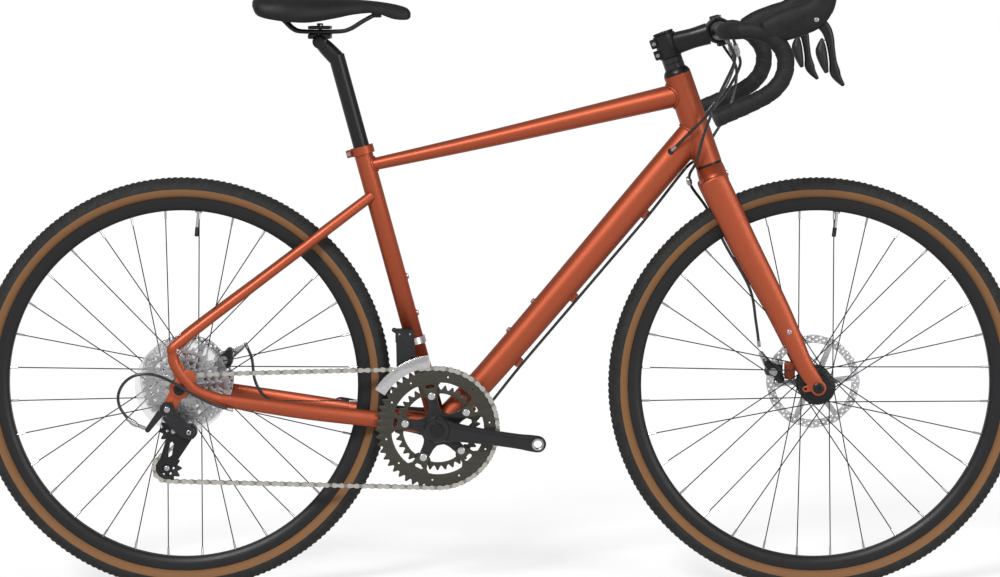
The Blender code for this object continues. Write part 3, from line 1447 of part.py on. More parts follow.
def caliper(name, place, wheel, y, parent=None):
    """A caliper over its rotor with its two pads. It gives its outer face's y."""
    centre = Vector((place.x, y + 0.0010, place.z))
    made = node(name, [block(centre, CALIPER_HALF, CALIPER_REACH, CALIPER_HALF)], "black metal", parent)
    pad_face = ROTOR_HALF + PAD_GAP
    slot = pad_face + PAD_THICK
    cut(made, pin(wheel, y - slot, y + slot, ROTOR_RADIUS + 0.0030, 32))
    outward = (Vector((place.x, 0.0, place.z)) - wheel).normalized()
    middle = wheel + outward * (ROTOR_RADIUS - ROTOR_TRACK / 2)
    for side in (-1.0, 1.0):
        half = (PAD_THICK + 0.0010) / 2
        at = y + side * (pad_face + half)
        joined(made, block(Vector((middle.x, at, middle.z)), 0.0075, half, 0.0080, outward))
    return centre.y + CALIPER_REACH


def caliper_arm(name, pivot, tip, low, parent):
    """The arm that the cable pulls, on the caliper's outer face."""
    axis = body(f"{name}_axis", pivot, parent)
    outline = wrapped([(pivot, 0.0090), (tip, 0.0050)])
    hub_disc = plate(outline, low + CLEAR, low + CLEAR + ARM_THICK)
    node(name, [hub_disc], "silver", axis)


FRONT_ARM_TIP = Vector((0.4480, 0.0, 0.3960))
REAR_ARM_TIP = Vector((-0.4420, 0.0, 0.4060))


def brakes(steering):
    face = caliper("front_caliper", FRONT_CALIPER, FRONT_AXLE, FRONT_ROTOR_Y, steering)
    caliper_arm("front_caliper_arm", FRONT_CALIPER, FRONT_ARM_TIP, face, steering)
    face = caliper("rear_caliper", REAR_CALIPER, REAR_AXLE, REAR_ROTOR_Y)
    caliper_arm("rear_caliper_arm", REAR_CALIPER, REAR_ARM_TIP, face, None)


# ---------------------------------------------------------------- seatpost and saddle

BARREL_RADIUS = 0.0120
BARREL_HALF = 0.0180
SADDLE_SECTIONS = (
    # from the clamp: x, half width, and above the rails: top, edge bottom, middle bottom
    (-0.1112, 0.0450, 0.0539, 0.0399, 0.0419),
    (-0.0992, 0.0640, 0.0599, 0.0259, 0.0359),
    (-0.0642, 0.0710, 0.0629, 0.0179, 0.0339),
    (-0.0192, 0.0650, 0.0609, 0.0149, 0.0339),
    (0.0208, 0.0470, 0.0574, 0.0209, 0.0359),
    (0.0558, 0.0310, 0.0544, 0.0279, 0.0369),
    (0.0928, 0.0230, 0.0509, 0.0304, 0.0339),
    (0.1228, 0.0190, 0.0464, 0.0209, 0.0249),
    (0.1448, 0.0140, 0.0399, 0.0194, 0.0209),
    (0.1524, 0.0070, 0.0319, 0.0239, 0.0244),
)


def seatpost():
    """The post in the seat tube, and the barrel on which the saddle's cradle tilts."""
    parent = body("seatpost_slide", seat_point(SEAT_TUBE_LENGTH))
    post = rod(seat_point(POST_FOOT), seat_point(POST_TOP), SEATPOST_RADIUS, TUBE_SIDES)
    made = node("seatpost", [post], "black metal", parent)
    neck_start = seat_point(POST_TOP - 0.0120)
    neck = limb([(*neck_start, 0.0120, 0.0120), (*SADDLE_PIVOT, 0.0110, 0.0100)], 10)
    joined(made, neck)
    joined(made, pin(SADDLE_PIVOT, -BARREL_HALF, BARREL_HALF, BARREL_RADIUS))
    return parent


def saddle_clamp(parent):
    """A lower cradle on the barrel, an upper plate over the rails and the bolt between them."""
    low_top = RAIL_HEIGHT - RAIL_RADIUS - CLEAR
    low_bottom = SADDLE_PIVOT.z + 0.0045
    high_bottom = RAIL_HEIGHT + RAIL_RADIUS + CLEAR
    half_y = RAIL_Y + RAIL_RADIUS + 0.0015
    x = SADDLE_PIVOT.x
    lower = block(Vector((x, 0.0, (low_top + low_bottom) / 2)), 0.0190, half_y, (low_top - low_bottom) / 2)
    upper = block(Vector((x, 0.0, high_bottom + 0.0030)), 0.0190, half_y, 0.0030)
    made = node("saddle_clamp", [lower], "black metal", parent)
    cut(made, pin(SADDLE_PIVOT, -0.1, 0.1, BARREL_RADIUS + CLEAR))
    foot = Vector((x, 0.0, low_top - 0.0006))
    joined(made, rod(foot, Vector((x, 0.0, high_bottom + 0.0105)), 0.0055, 8), upper)


def saddle_rails(parent):
    """One bent rod: a rail on each side of the clamp, joined under the nose."""
    shape = (
        # from the clamp: x, y off the rails' place, and above the rails
        (-0.0732, 0.0040, 0.0301),
        (-0.0592, 0.0020, 0.0184),
        (-0.0442, 0.0000, 0.0044),
        (-0.0272, 0.0000, 0.0000),
        (0.0308, 0.0000, 0.0000),
        (0.0508, -0.0010, 0.0044),
        (0.0708, -0.0060, 0.0164),
        (0.0888, -0.0130, 0.0261),
        (0.0968, -RAIL_Y, 0.0284),
    )
    left = [(SADDLE_PIVOT.x + x, RAIL_Y + y, RAIL_HEIGHT + z) for x, y, z in shape]
    right = [(x, -y, z) for x, y, z in left[-2::-1]]
    rows = [(*point, RAIL_RADIUS, RAIL_RADIUS) for point in [*left, *right]]
    node("saddle_rails", [limb(rows, 8, Z_AXIS)], "black metal", parent)


def saddle_section(x, half, top, edge, middle):
    """A padded section: domed above, hollow below between the two edges."""
    rise = top - edge
    ring = [(-half, edge + rise * 0.18), (-half * 0.86, edge + rise * 0.62), (-half * 0.5, top - rise * 0.08)]
    ring += [(0.0, top)] + [(-y, z) for y, z in ring[::-1]]
    ring += [(half * 0.9, edge), (half * 0.55, middle), (-half * 0.55, middle), (-half * 0.9, edge)]
    return [Vector((SADDLE_PIVOT.x + x, y, RAIL_HEIGHT + z)) for y, z in ring]


def saddle(post_body):
    parent = body("saddle_tilt_axis", SADDLE_PIVOT, post_body)
    saddle_clamp(parent)
    saddle_rails(parent)
    node("saddle", [loft([saddle_section(*row) for row in SADDLE_SECTIONS])], "tape", parent)


# ---------------------------------------------------------------- cables


def under_down_tube(along, y=0.0):
    middle = DOWN_TUBE_MIDDLE + DOWN_TUBE_AHEAD * along
    return middle - DOWN_TUBE_ABOVE * DOWN_CABLE_DROP + Y_AXIS * y


GEAR_PORT = Vector((0.2880, -0.0222, 0.7475))


def gear_housings():
    """Two housings from under the tape into the ports on the sides of the down tube."""
    right = [(0.3890, -0.0600, 0.9290), (0.3990, -0.0560, 0.8900), (0.3780, -0.0480, 0.8480),
             (0.3480, -0.0400, 0.8090), (0.3150, -0.0320, 0.7750), GEAR_PORT]
    cord("right_gear_housing", right, HOUSING_RADIUS)
    left = [(0.3890, 0.0600, 0.9290), (0.3980, 0.0560, 0.8900), (0.3800, 0.0470, 0.8480),
            (0.3500, 0.0400, 0.8090), (0.3170, 0.0320, 0.7750), (GEAR_PORT.x, -GEAR_PORT.y, GEAR_PORT.z)]
    cord("left_gear_housing", left, HOUSING_RADIUS)


def rear_brake_housing():
    """From the left of the bar, under the down tube and along the left chainstay to the caliper."""
    route = [Vector((0.3860, 0.0750, 0.9290)), Vector((0.4030, 0.0720, 0.8800)),
             Vector((0.3920, 0.0600, 0.8200)), Vector((0.3640, 0.0420, 0.7720)),
             Vector((0.3470, 0.0340, 0.7480)), Vector((0.3300, 0.0250, 0.7290)),
             Vector((0.3100, 0.0080, 0.7120)), under_down_tube(0.3480),
             under_down_tube(0.2500), under_down_tube(0.1630), under_down_tube(0.0190),
             Vector((-0.0500, 0.0020, 0.2790)), Vector((-0.1000, 0.0080, 0.2585)),
             Vector((-0.1500, 0.0260, 0.2670)), Vector((-0.2100, 0.0360, 0.2760)),
             Vector((-0.2900, 0.0440, 0.2880)), Vector((-0.3600, 0.0480, 0.3030)),
             Vector((-0.4000, 0.0520, 0.3220)), Vector((-0.4180, 0.0540, 0.3500)),
             Vector((-0.4240, 0.0600, 0.3880)), Vector((-0.4360, 0.0660, 0.4140))]
    cord("rear_brake_housing", route, HOUSING_RADIUS)


def front_brake_housing(steering):
    route = [(0.3890, -0.0760, 0.9290), (0.3880, -0.0740, 0.8950), (0.3640, -0.0600, 0.8400),
             (0.3420, -0.0490, 0.7800), (0.3290, -0.0340, 0.7300), (0.3190, -0.0120, 0.7060),
             (0.3240, 0.0160, 0.6850), (0.3536, 0.0385, 0.6437), (0.3850, 0.0410, 0.5818),
             (0.4256, 0.0452, 0.5105), (0.4380, 0.0540, 0.4500), (0.4440, 0.0570, 0.4080)]
    cord("front_brake_housing", route, HOUSING_RADIUS, steering)


def rear_derailleur_housing():
    """The loop from the right chainstay's stop round to the rear derailleur."""
    route = [(-0.4450, -0.0770, 0.3168), (-0.4749, -0.0880, 0.3268), (-0.5126, -0.0930, 0.3465),
             (-0.5474, -0.0960, 0.3678), (-0.5772, -0.0960, 0.3788), (-0.6047, -0.0950, 0.3773),
             (-0.6238, -0.0930, 0.3651), (-0.6343, -0.0910, 0.3458), (-0.6337, -0.0890, 0.3267),
             (-0.6244, -0.0880, 0.3101), (-0.6109, -0.0840, 0.2963), (-0.5918, -0.0809, 0.2863)]
    cord("rear_derailleur_housing", route, HOUSING_RADIUS)


# ---------------------------------------------------------------- the whole bicycle


def build():
    for old in list(bpy.data.objects):
        bpy.data.objects.remove(old)
    head_tube()
    top_tube()
    down_tube()
    seat_tube()
    chainstays()
    seatstays()
    seat_collar()
    bottom_bracket_cartridge()
    crankset()
    rear_wheel()
    cassette()
    chain()
    derailleur_cage()
    rear_derailleur_linkage()
    front_derailleur_clamp()
    front_derailleur_cage()
    steering = body("steering_axis", head_point(HEAD_LOW))
    fork(steering)
    headset(steering)
    front_wheel(steering)
    stem(steering)
    handlebar(steering)
    for side_name, side in (("right", -1), ("left", 1)):
        bar_tape(f"{side_name}_bar_tape", side, steering)
        hood(f"{side_name}_hood", side, steering)
        lever(side_name, side, steering)
    brakes(steering)
    saddle(seatpost())
    gear_housings()
    rear_brake_housing()
    front_brake_housing(steering)
    rear_derailleur_housing()


build()
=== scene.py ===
"""The looks of a gravel bicycle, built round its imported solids.

Metres, +Z up, +X towards the front wheel, +Y to the rider's left; the drive side is at -Y.
"""

import math

import bmesh
import bpy
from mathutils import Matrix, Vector


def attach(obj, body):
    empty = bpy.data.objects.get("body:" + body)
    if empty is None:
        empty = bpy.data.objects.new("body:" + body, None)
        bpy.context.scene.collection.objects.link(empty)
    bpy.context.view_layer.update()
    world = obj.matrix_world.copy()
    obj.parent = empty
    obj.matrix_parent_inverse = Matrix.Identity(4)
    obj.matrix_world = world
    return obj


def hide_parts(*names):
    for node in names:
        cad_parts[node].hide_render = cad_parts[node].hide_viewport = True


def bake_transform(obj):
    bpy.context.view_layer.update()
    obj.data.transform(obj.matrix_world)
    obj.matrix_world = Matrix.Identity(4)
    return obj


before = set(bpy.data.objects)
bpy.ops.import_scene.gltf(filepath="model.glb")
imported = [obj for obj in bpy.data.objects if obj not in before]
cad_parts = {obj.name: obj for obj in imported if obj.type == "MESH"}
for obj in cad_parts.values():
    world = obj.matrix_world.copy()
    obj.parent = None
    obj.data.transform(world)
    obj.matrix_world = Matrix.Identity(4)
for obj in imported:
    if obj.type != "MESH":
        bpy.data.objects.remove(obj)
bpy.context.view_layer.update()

Y = Vector((0.0, 1.0, 0.0))
Z = Vector((0.0, 0.0, 1.0))

# ---------------------------------------------------------------- places on the bicycle

FRONT_AXLE = Vector((0.5345, 0.0, 0.351))
REAR_AXLE = Vector((-0.5345, 0.0, 0.351))
BOTTOM_BRACKET = Vector((-0.10427, 0.0, 0.2822))
HEAD_ANGLE = math.radians(70.5)
SEAT_ANGLE = math.radians(74.8)
HEAD_UP = Vector((-math.cos(HEAD_ANGLE), 0.0, math.sin(HEAD_ANGLE)))
HEAD_AHEAD = Vector((math.sin(HEAD_ANGLE), 0.0, math.cos(HEAD_ANGLE)))
HEAD_FOOT = FRONT_AXLE - HEAD_AHEAD * 0.048
SEAT_UP = Vector((-math.cos(SEAT_ANGLE), 0.0, math.sin(SEAT_ANGLE)))
SEAT_AHEAD = Vector((math.sin(SEAT_ANGLE), 0.0, math.cos(SEAT_ANGLE)))
HEAD_LOW = 0.4135
HEAD_HIGH = 0.5723
SPACERS_LOW = HEAD_HIGH + 0.0101
STEM_LOW = SPACERS_LOW + 0.0206
STEM_HIGH = STEM_LOW + 0.04
STEM_MIDDLE = STEM_LOW + 0.02
STEM_RISE = math.radians(16.6)
STEM_AHEAD = Vector((math.cos(STEM_RISE), 0.0, math.sin(STEM_RISE)))
STEM_ACROSS = Vector((-math.sin(STEM_RISE), 0.0, math.cos(STEM_RISE)))
STAY_Y = 0.0745
RING_Y = -0.0475
SMALL_RING_Y = -0.0405
DRIVE_Y = -0.0585
CHAIN_PITCH = 0.0127
RING_TEETH = 50
SMALL_RING_TEETH = 34
COG_TEETH = (11, 12, 14, 16, 18, 21, 26, 32)
PULLEY_TEETH = 11
SPOKES = 32
HOUSING_RADIUS = 0.0025
HANGER = REAR_AXLE + Vector((-0.0199, 0.0, -0.0325))
CAGE_PIVOT = REAR_AXLE + Vector((0.0162, 0.0, -0.071))
GUIDE = REAR_AXLE + Vector((-0.012, 0.0, -0.072))
TENSION = REAR_AXLE + Vector((-0.0235, 0.0, -0.1346))
CRANK_TURN = math.radians(-8.2)
SPIDER_TURN = math.radians(28.3)
HOOD_Y = 0.207
LEVER_PIVOT = Vector((0.5082, HOOD_Y, 0.9672))


def head_point(along, ahead=0.0):
    return HEAD_FOOT + HEAD_UP * along + HEAD_AHEAD * ahead


def seat_point(along, ahead=0.0, y=0.0):
    return BOTTOM_BRACKET + SEAT_UP * along + SEAT_AHEAD * ahead + Y * y


BAR_CLAMP = head_point(STEM_MIDDLE) + STEM_AHEAD * 0.089
SADDLE_PIVOT = seat_point(0.656) + Vector((-0.0245, 0.0, 0.014))

# ---------------------------------------------------------------- finishes


class Finish:
    """A material's node tree, with short ways to add its parts."""

    def __init__(self, name):
        self.material = bpy.data.materials.new(name)
        self.material.use_nodes = True
        self.nodes = self.material.node_tree.nodes
        self.links = self.material.node_tree.links
        self.shader = self.nodes["Principled BSDF"]
        self.place = self.nodes.new("ShaderNodeTexCoord").outputs["Object"]

    def set(self, **values):
        for name, value in values.items():
            self.shader.inputs[name.replace("_", " ")].default_value = value
        return self

    def link(self, source, target):
        self.links.new(source, target)

    def noise(self, scale, detail=3.0, place=None):
        node = self.nodes.new("ShaderNodeTexNoise")
        node.inputs["Scale"].default_value = scale
        node.inputs["Detail"].default_value = detail
        node.inputs["Roughness"].default_value = 0.5
        self.link(place or self.place, node.inputs["Vector"])
        return node.outputs["Fac"]

    def cells(self, scale):
        node = self.nodes.new("ShaderNodeTexVoronoi")
        node.inputs["Scale"].default_value = scale
        self.link(self.place, node.inputs["Vector"])
        return node.outputs["Distance"]

    def ramp(self, source, stops):
        node = self.nodes.new("ShaderNodeValToRGB")
        bar = node.color_ramp
        while len(bar.elements) < len(stops):
            bar.elements.new(0.5)
        for element, (place, colour) in zip(bar.elements, stops):
            element.position = place
            element.color = (*colour, 1.0) if isinstance(colour, tuple) else (colour, colour, colour, 1.0)
        self.link(source, node.inputs["Fac"])
        return node.outputs["Color"]

    def maths(self, operation, first, second=0.0):
        node = self.nodes.new("ShaderNodeMath")
        node.operation = operation
        for socket, value in zip(node.inputs, (first, second)):
            if isinstance(value, (int, float)):
                socket.default_value = value
            else:
                self.link(value, socket)
        return node.outputs["Value"]

    def spread(self, source, low, high):
        node = self.nodes.new("ShaderNodeMapRange")
        node.inputs["To Min"].default_value = low
        node.inputs["To Max"].default_value = high
        self.link(source, node.inputs["Value"])
        return node.outputs["Result"]

    def stretched(self, scale):
        node = self.nodes.new("ShaderNodeMapping")
        node.inputs["Scale"].default_value = scale
        self.link(self.place, node.inputs["Vector"])
        return node.outputs["Vector"]

    def axes(self):
        node = self.nodes.new("ShaderNodeSeparateXYZ")
        self.link(self.place, node.inputs["Vector"])
        return node.outputs

    def radius(self, centre):
        """The distance from an axle, in the side view."""
        axes = self.axes()
        across = self.maths("SUBTRACT", axes["X"], centre.x)
        up = self.maths("SUBTRACT", axes["Z"], centre.z)
        squares = self.maths("ADD", self.maths("POWER", across, 2.0), self.maths("POWER", up, 2.0))
        return self.maths("SQRT", squares), self.maths("ARCTAN2", up, across)

    def colour(self, source):
        self.link(source, self.shader.inputs["Base Color"])
        return self

    def roughness(self, source):
        self.link(source, self.shader.inputs["Roughness"])
        return self

    def bump(self, source, distance, strength=1.0):
        node = self.nodes.new("ShaderNodeBump")
        node.inputs["Distance"].default_value = distance
        node.inputs["Strength"].default_value = strength
        self.link(source, node.inputs["Height"])
        self.link(node.outputs["Normal"], self.shader.inputs["Normal"])
        return self


def shade(colour, by):
    return tuple(channel * by for channel in colour)


def metallic_paint(name, colour):
    made = Finish(name).set(Metallic=0.85, Coat_Weight=0.12, Coat_Roughness=0.22)
    flakes = made.noise(2600.0, 2.0)
    made.colour(made.ramp(flakes, [(0.3, shade(colour, 0.8)), (0.55, colour), (0.75, shade(colour, 1.25))]))
    made.roughness(made.spread(made.noise(34.0), 0.45, 0.54))
    return made.bump(flakes, 0.00003, 0.4).material


def anodised(name, colour, low=0.3, high=0.42, metallic=0.75):
    made = Finish(name).set(Metallic=metallic)
    grain = made.noise(900.0, 3.0)
    made.colour(made.ramp(grain, [(0.25, shade(colour, 0.8)), (0.75, shade(colour, 1.25))]))
    made.roughness(made.spread(made.noise(60.0), low, high))
    return made.bump(grain, 0.00003, 0.35).material


def gloss_black(name, colour=(0.006, 0.006, 0.007)):
    made = Finish(name).set(Coat_Weight=0.12, Coat_Roughness=0.08, Specular_IOR_Level=0.4)
    made.colour(made.ramp(made.noise(40.0), [(0.3, colour), (0.8, shade(colour, 1.5))]))
    made.roughness(made.spread(made.noise(120.0), 0.22, 0.34))
    return made.bump(made.noise(500.0), 0.00003, 0.3).material


def polished(name, colour, low=0.2, high=0.34):
    made = Finish(name).set(Metallic=1.0)
    grain = made.noise(300.0, 4.0, made.stretched((1.0, 6.0, 1.0)))
    made.colour(made.ramp(grain, [(0.2, shade(colour, 0.85)), (0.8, shade(colour, 1.1))]))
    made.roughness(made.spread(made.noise(90.0), low, high))
    return made.bump(grain, 0.00003, 0.4).material


def turned_steel(name, colour, centre, low=0.24, high=0.4):
    """Steel with fine rings about an axle, as a rotor's track is ground."""
    made = Finish(name).set(Metallic=1.0)
    radius = made.radius(centre)[0]
    rings = made.maths("SINE", made.maths("MULTIPLY", radius, 9000.0))
    worn = made.noise(70.0, 4.0)
    made.colour(made.ramp(worn, [(0.3, shade(colour, 0.82)), (0.7, shade(colour, 1.08))]))
    made.roughness(made.spread(made.noise(160.0), low, high))
    return made.bump(rings, 0.00003, 0.5).material


def soft_rubber(name, colour, scale, depth, roughness=0.7):
    made = Finish(name).set(Specular_IOR_Level=0.24)
    grain = made.cells(scale)
    made.colour(made.ramp(made.noise(55.0, 5.0), [(0.3, shade(colour, 0.8)), (0.75, shade(colour, 1.35))]))
    made.roughness(made.spread(made.noise(200.0), roughness - 0.08, roughness + 0.08))
    return made.bump(grain, depth, 0.8).material


def tyre_rubber(name, centre, wall_low, wall_high):
    """Black rubber with a woven tan band between two radii."""
    made = Finish(name).set(Specular_IOR_Level=0.3)
    radius, turn = made.radius(centre)
    weave_a = made.maths(
        "SINE",
        made.maths("ADD", made.maths("MULTIPLY", turn, 900.0), made.maths("MULTIPLY", radius, 2600.0)),
    )
    weave_b = made.maths(
        "SINE",
        made.maths("SUBTRACT", made.maths("MULTIPLY", turn, 900.0), made.maths("MULTIPLY", radius, 2600.0)),
    )
    threads = made.maths("MULTIPLY", weave_a, weave_b)
    wander = made.maths("MULTIPLY", made.noise(90.0), 0.0006)
    edge = made.maths("ADD", radius, wander)
    inside = made.maths(
        "MULTIPLY", made.maths("GREATER_THAN", edge, wall_low), made.maths("LESS_THAN", edge, wall_high)
    )
    dark = made.ramp(made.noise(70.0, 4.0), [(0.3, (0.011, 0.011, 0.011)), (0.75, (0.022, 0.021, 0.02))])
    tan = made.ramp(threads, [(0.2, (0.165, 0.077, 0.03)), (0.8, (0.24, 0.118, 0.05))])
    mixed = made.nodes.new("ShaderNodeMix")
    mixed.data_type = "RGBA"
    made.link(inside, mixed.inputs["Factor"])
    made.link(dark, mixed.inputs[6])
    made.link(tan, mixed.inputs[7])
    made.colour(mixed.outputs[2])
    made.roughness(made.spread(made.noise(300.0), 0.62, 0.82))
    return made.bump(made.maths("ADD", threads, made.noise(1800.0)), 0.00006, 0.5).material


def clear_plastic(name):
    made = Finish(name).set(Transmission_Weight=0.85, IOR=1.45, Alpha=0.45)
    made.colour(made.ramp(made.noise(30.0), [(0.3, 0.82), (0.8, 0.95)]))
    made.roughness(made.spread(made.noise(80.0), 0.08, 0.2))
    return made.material


COPPER = metallic_paint("copper_paint", (0.385, 0.08, 0.034))
BLACK_METAL = anodised("black_anodised", (0.012, 0.012, 0.013), 0.3, 0.42, 0.5)
BLACK_GLOSS = gloss_black("black_gloss")
DARK_RIM = anodised("rim_anodised", (0.017, 0.017, 0.0185), 0.36, 0.5, 0.6)
DARK_SPOKE = anodised("spoke_black", (0.035, 0.035, 0.038), 0.28, 0.4, 0.8)
GRAPHITE = anodised("ring_graphite", (0.06, 0.057, 0.046), 0.36, 0.5, 0.8)
DARK_GREY = anodised("body_grey", (0.024, 0.0245, 0.027), 0.3, 0.42, 0.6)
SILVER = polished("bright_steel", (0.62, 0.62, 0.63))
BOLT_STEEL = polished("bolt_steel", (0.42, 0.42, 0.44), 0.24, 0.4)
CHAIN_STEEL = polished("chain_plate", (0.58, 0.56, 0.51), 0.24, 0.36)
ROLLER_STEEL = polished("chain_roller", (0.3, 0.29, 0.27), 0.3, 0.42)
COG_STEEL = turned_steel("cog_steel", (0.46, 0.46, 0.47), REAR_AXLE)
FRONT_ROTOR_STEEL = turned_steel("front_rotor_steel", (0.6, 0.6, 0.62), FRONT_AXLE)
REAR_ROTOR_STEEL = turned_steel("rear_rotor_steel", (0.6, 0.6, 0.62), REAR_AXLE)
TAPE = soft_rubber("cork_tape", (0.011, 0.011, 0.012), 700.0, 0.00018, 0.62)
HOOD_RUBBER = soft_rubber("hood_rubber", (0.009, 0.009, 0.01), 1500.0, 0.00008, 0.6)
SADDLE_COVER = soft_rubber("saddle_cover", (0.008, 0.008, 0.009), 1100.0, 0.0001, 0.5)
HOUSING = gloss_black("cable_housing", (0.014, 0.014, 0.015))
RESIN = soft_rubber("pulley_resin", (0.018, 0.018, 0.019), 900.0, 0.00004, 0.45)
CLEAR = clear_plastic("clear_guard")
SHADOW_BLACK = soft_rubber("hole_dark", (0.004, 0.004, 0.004), 400.0, 0.00003, 0.8)

# ---------------------------------------------------------------- shapes

# A shape is (points, faces), in the bicycle's own frame.


def loft(rings, loop=False):
    count = len(rings[0])
    points = [point for ring in rings for point in ring]
    faces = []
    for i in range(len(rings) if loop else len(rings) - 1):
        low = i * count
        high = (i + 1) % len(rings) * count
        for j in range(count):
            k = (j + 1) % count
            faces.append((low + j, low + k, high + k, high + j))
    if not loop:
        faces.append(tuple(range(count)))
        faces.append(tuple(range(len(points) - count, len(points))))
    return points, faces


def together(*shapes):
    points = []
    faces = []
    for shape_points, shape_faces in shapes:
        start = len(points)
        points += shape_points
        faces += [tuple(start + i for i in face) for face in shape_faces]
    return points, faces


def mirrored(shape):
    points, faces = shape
    return [Vector((p.x, -p.y, p.z)) for p in points], [face[::-1] for face in faces]


def sided(shape, side):
    return shape if side > 0 else mirrored(shape)


def section(centre, across, up, half_across, half_up, sides=32, power=2.0):
    """An ellipse, squarer with a power above 2."""
    ring = []
    for i in range(sides):
        turn = 2.0 * math.pi * i / sides
        c, s = math.cos(turn), math.sin(turn)
        a = math.copysign(abs(c) ** (2.0 / power), c) * half_across
        b = math.copysign(abs(s) ** (2.0 / power), s) * half_up
        ring.append(centre + across * a + up * b)
    return ring


def smooth(rows, steps):
    """Catmull-Rom rows through the given ones."""
    result = []
    last = len(rows) - 1
    for i in range(last):
        near = (rows[max(i - 1, 0)], rows[i], rows[i + 1], rows[min(i + 2, last)])
        for step in range(steps):
            t = step / steps
            row = []
            for a, b, c, d in zip(*near):
                bend = (2 * a - 5 * b + 4 * c - d) * t * t + (3 * b - a - 3 * c + d) * t**3
                row.append(0.5 * (2 * b + (c - a) * t + bend))
            result.append(tuple(row))
    result.append(tuple(rows[last]))
    return result


def carried_axes(points, across):
    result = []
    for i in range(len(points)):
        tangent = (points[min(i + 1, len(points) - 1)] - points[max(i - 1, 0)]).normalized()
        across = (across - tangent * across.dot(tangent)).normalized()
        result.append((across, tangent.cross(across)))
    return result


def limb(rows, sides=32, across=Y, power=2.0, steps=6, round_end=0.0):
    """A bar through rows of (x, y, z, half across, half up), its ends rounded off if asked."""
    rows = smooth(rows, steps) if steps > 1 else list(rows)
    points = [Vector(row[:3]) for row in rows]
    axes = carried_axes(points, across)
    rings = []
    for row, point, (side, up) in zip(rows, points, axes):
        rings.append(section(point, side, up, row[3], row[4], sides, power))
    if round_end:
        for at, step in ((0, 1), (-1, -2)):
            point = points[at]
            out = (point - points[step if at == 0 else -2]).normalized()
            side, up = axes[at]
            caps = []
            for turn in (25.0, 50.0, 70.0, 84.0):
                t = math.radians(turn)
                centre = point + out * round_end * math.sin(t)
                a, b = rows[at][3] * math.cos(t), rows[at][4] * math.cos(t)
                caps.append(section(centre, side, up, a, b, sides, power))
            rings = caps[::-1] + rings if at == 0 else rings + caps
    return loft(rings)


def square_to(along):
    across = Z if abs(along.dot(Y)) > 0.9 else Y
    across = (across - along * across.dot(along)).normalized()
    return across, along.cross(across)


def rod(start, end, radius, sides=24, edge=0.0004):
    """A round bar with chamfered ends."""
    along = (end - start).normalized()
    across, up = square_to(along)
    stations = [(start, radius - edge), (start + along * edge, radius)]
    stations += [(end - along * edge, radius), (end, radius - edge)]
    return loft([section(place, across, up, r, r, sides) for place, r in stations])


def hex_bolt(place, along, radius, height, socket=0.5):
    """A round bolt head with a hexagon socket sunk into it."""
    across, up = square_to(along)
    stations = [(0.0, radius), (height * 0.75, radius), (height, radius * 0.82), (height, radius * socket)]
    rings = [section(place + along * h, across, up, r, r, 18) for h, r in stations]
    inner = section(place + along * height * 0.35, across, up, radius * socket, radius * socket, 18)
    flat = []
    for i, point in enumerate(inner):
        turn = 2.0 * math.pi * i / 18
        reach = math.cos(math.pi / 6) / math.cos((turn + math.pi / 6) % (math.pi / 3) - math.pi / 6)
        flat.append(place + along * height * 0.35 + (point - place - along * height * 0.35) * reach)
    rings.append([point + along * height * 0.6 for point in flat])
    rings.append(flat)
    return loft(rings)


def lathe(place, stations, sides=64, loop=False):
    """A round body about a line along Y; stations are (y, radius)."""
    x_axis = Vector((1.0, 0.0, 0.0))
    rings = [section(Vector((place.x, y, place.z)), x_axis, Z, r, r, sides) for y, r in stations]
    return loft(rings, loop)


def collar(stations, bore, sides=48):
    """A round body with a bore on the steering axis; stations are (distance up it, radius)."""
    across = HEAD_UP.cross(Y)
    rings = [section(head_point(h), Y, across, r, r, sides) for h, r in stations]
    rings += [
        section(head_point(h), Y, across, bore, bore, sides) for h in (stations[-1][0], stations[0][0])
    ]
    return loft(rings, loop=True)


def cable(route, radius, sides=12):
    """A round tube through smooth points."""
    axes = carried_axes(route, square_to((route[1] - route[0]).normalized())[0])
    rings = [section(p, a, u, radius, radius, sides) for p, (a, u) in zip(route, axes)]
    return loft(rings)


def curve_through(places, gap):
    """Evenly spaced points on a smooth curve."""
    points = [Vector(row) for row in smooth([tuple(place) for place in places], 14)]
    length = sum((b - a).length for a, b in zip(points, points[1:]))
    count = max(2, round(length / gap))
    result = [points[0]]
    target, walked = length / count, 0.0
    for a, b in zip(points, points[1:]):
        span = (b - a).length
        while walked + span >= target and len(result) < count:
            result.append(a.lerp(b, (target - walked) / span))
            target += length / count
        walked += span
    result.append(points[-1])
    return result


def polar(centre, radius, turn):
    return centre.x + radius * math.cos(turn), centre.z + radius * math.sin(turn)


def circle(centre, radius, steps):
    return [polar(centre, radius, 2.0 * math.pi * i / steps) for i in range(steps)]


def arc(centre, radius, start, end, steps):
    return [polar(centre, radius, start + (end - start) * i / steps) for i in range(steps + 1)]


def belt(wheels, step):
    """A tangent loop round wheels of (centre, radius, turn), a list of (x, z, normal) for each."""
    count = len(wheels)
    arrive = [0.0] * count
    leave = [0.0] * count
    for i, (centre, radius, turn) in enumerate(wheels):
        j = (i + 1) % count
        next_centre, next_radius, next_turn = wheels[j]
        apart = next_centre - centre
        heading = math.atan2(apart.z, apart.x)
        reach = math.hypot(apart.x, apart.z)
        normal = heading + math.acos((next_radius * next_turn - radius * turn) / reach)
        leave[i] = normal + (math.pi if turn == 1 else 0.0)
        arrive[j] = normal + (math.pi if next_turn == 1 else 0.0)
    loops = []
    for i, (centre, radius, turn) in enumerate(wheels):
        swept = (leave[i] - arrive[i]) * turn % (2.0 * math.pi)
        steps = max(1, math.ceil(swept / step))
        rows = []
        for k in range(steps + 1):
            angle = arrive[i] + turn * swept * k / steps
            x, z = polar(centre, radius, angle)
            rows.append((x, z, angle + (math.pi if turn == 1 else 0.0)))
        loops.append(rows)
    return loops


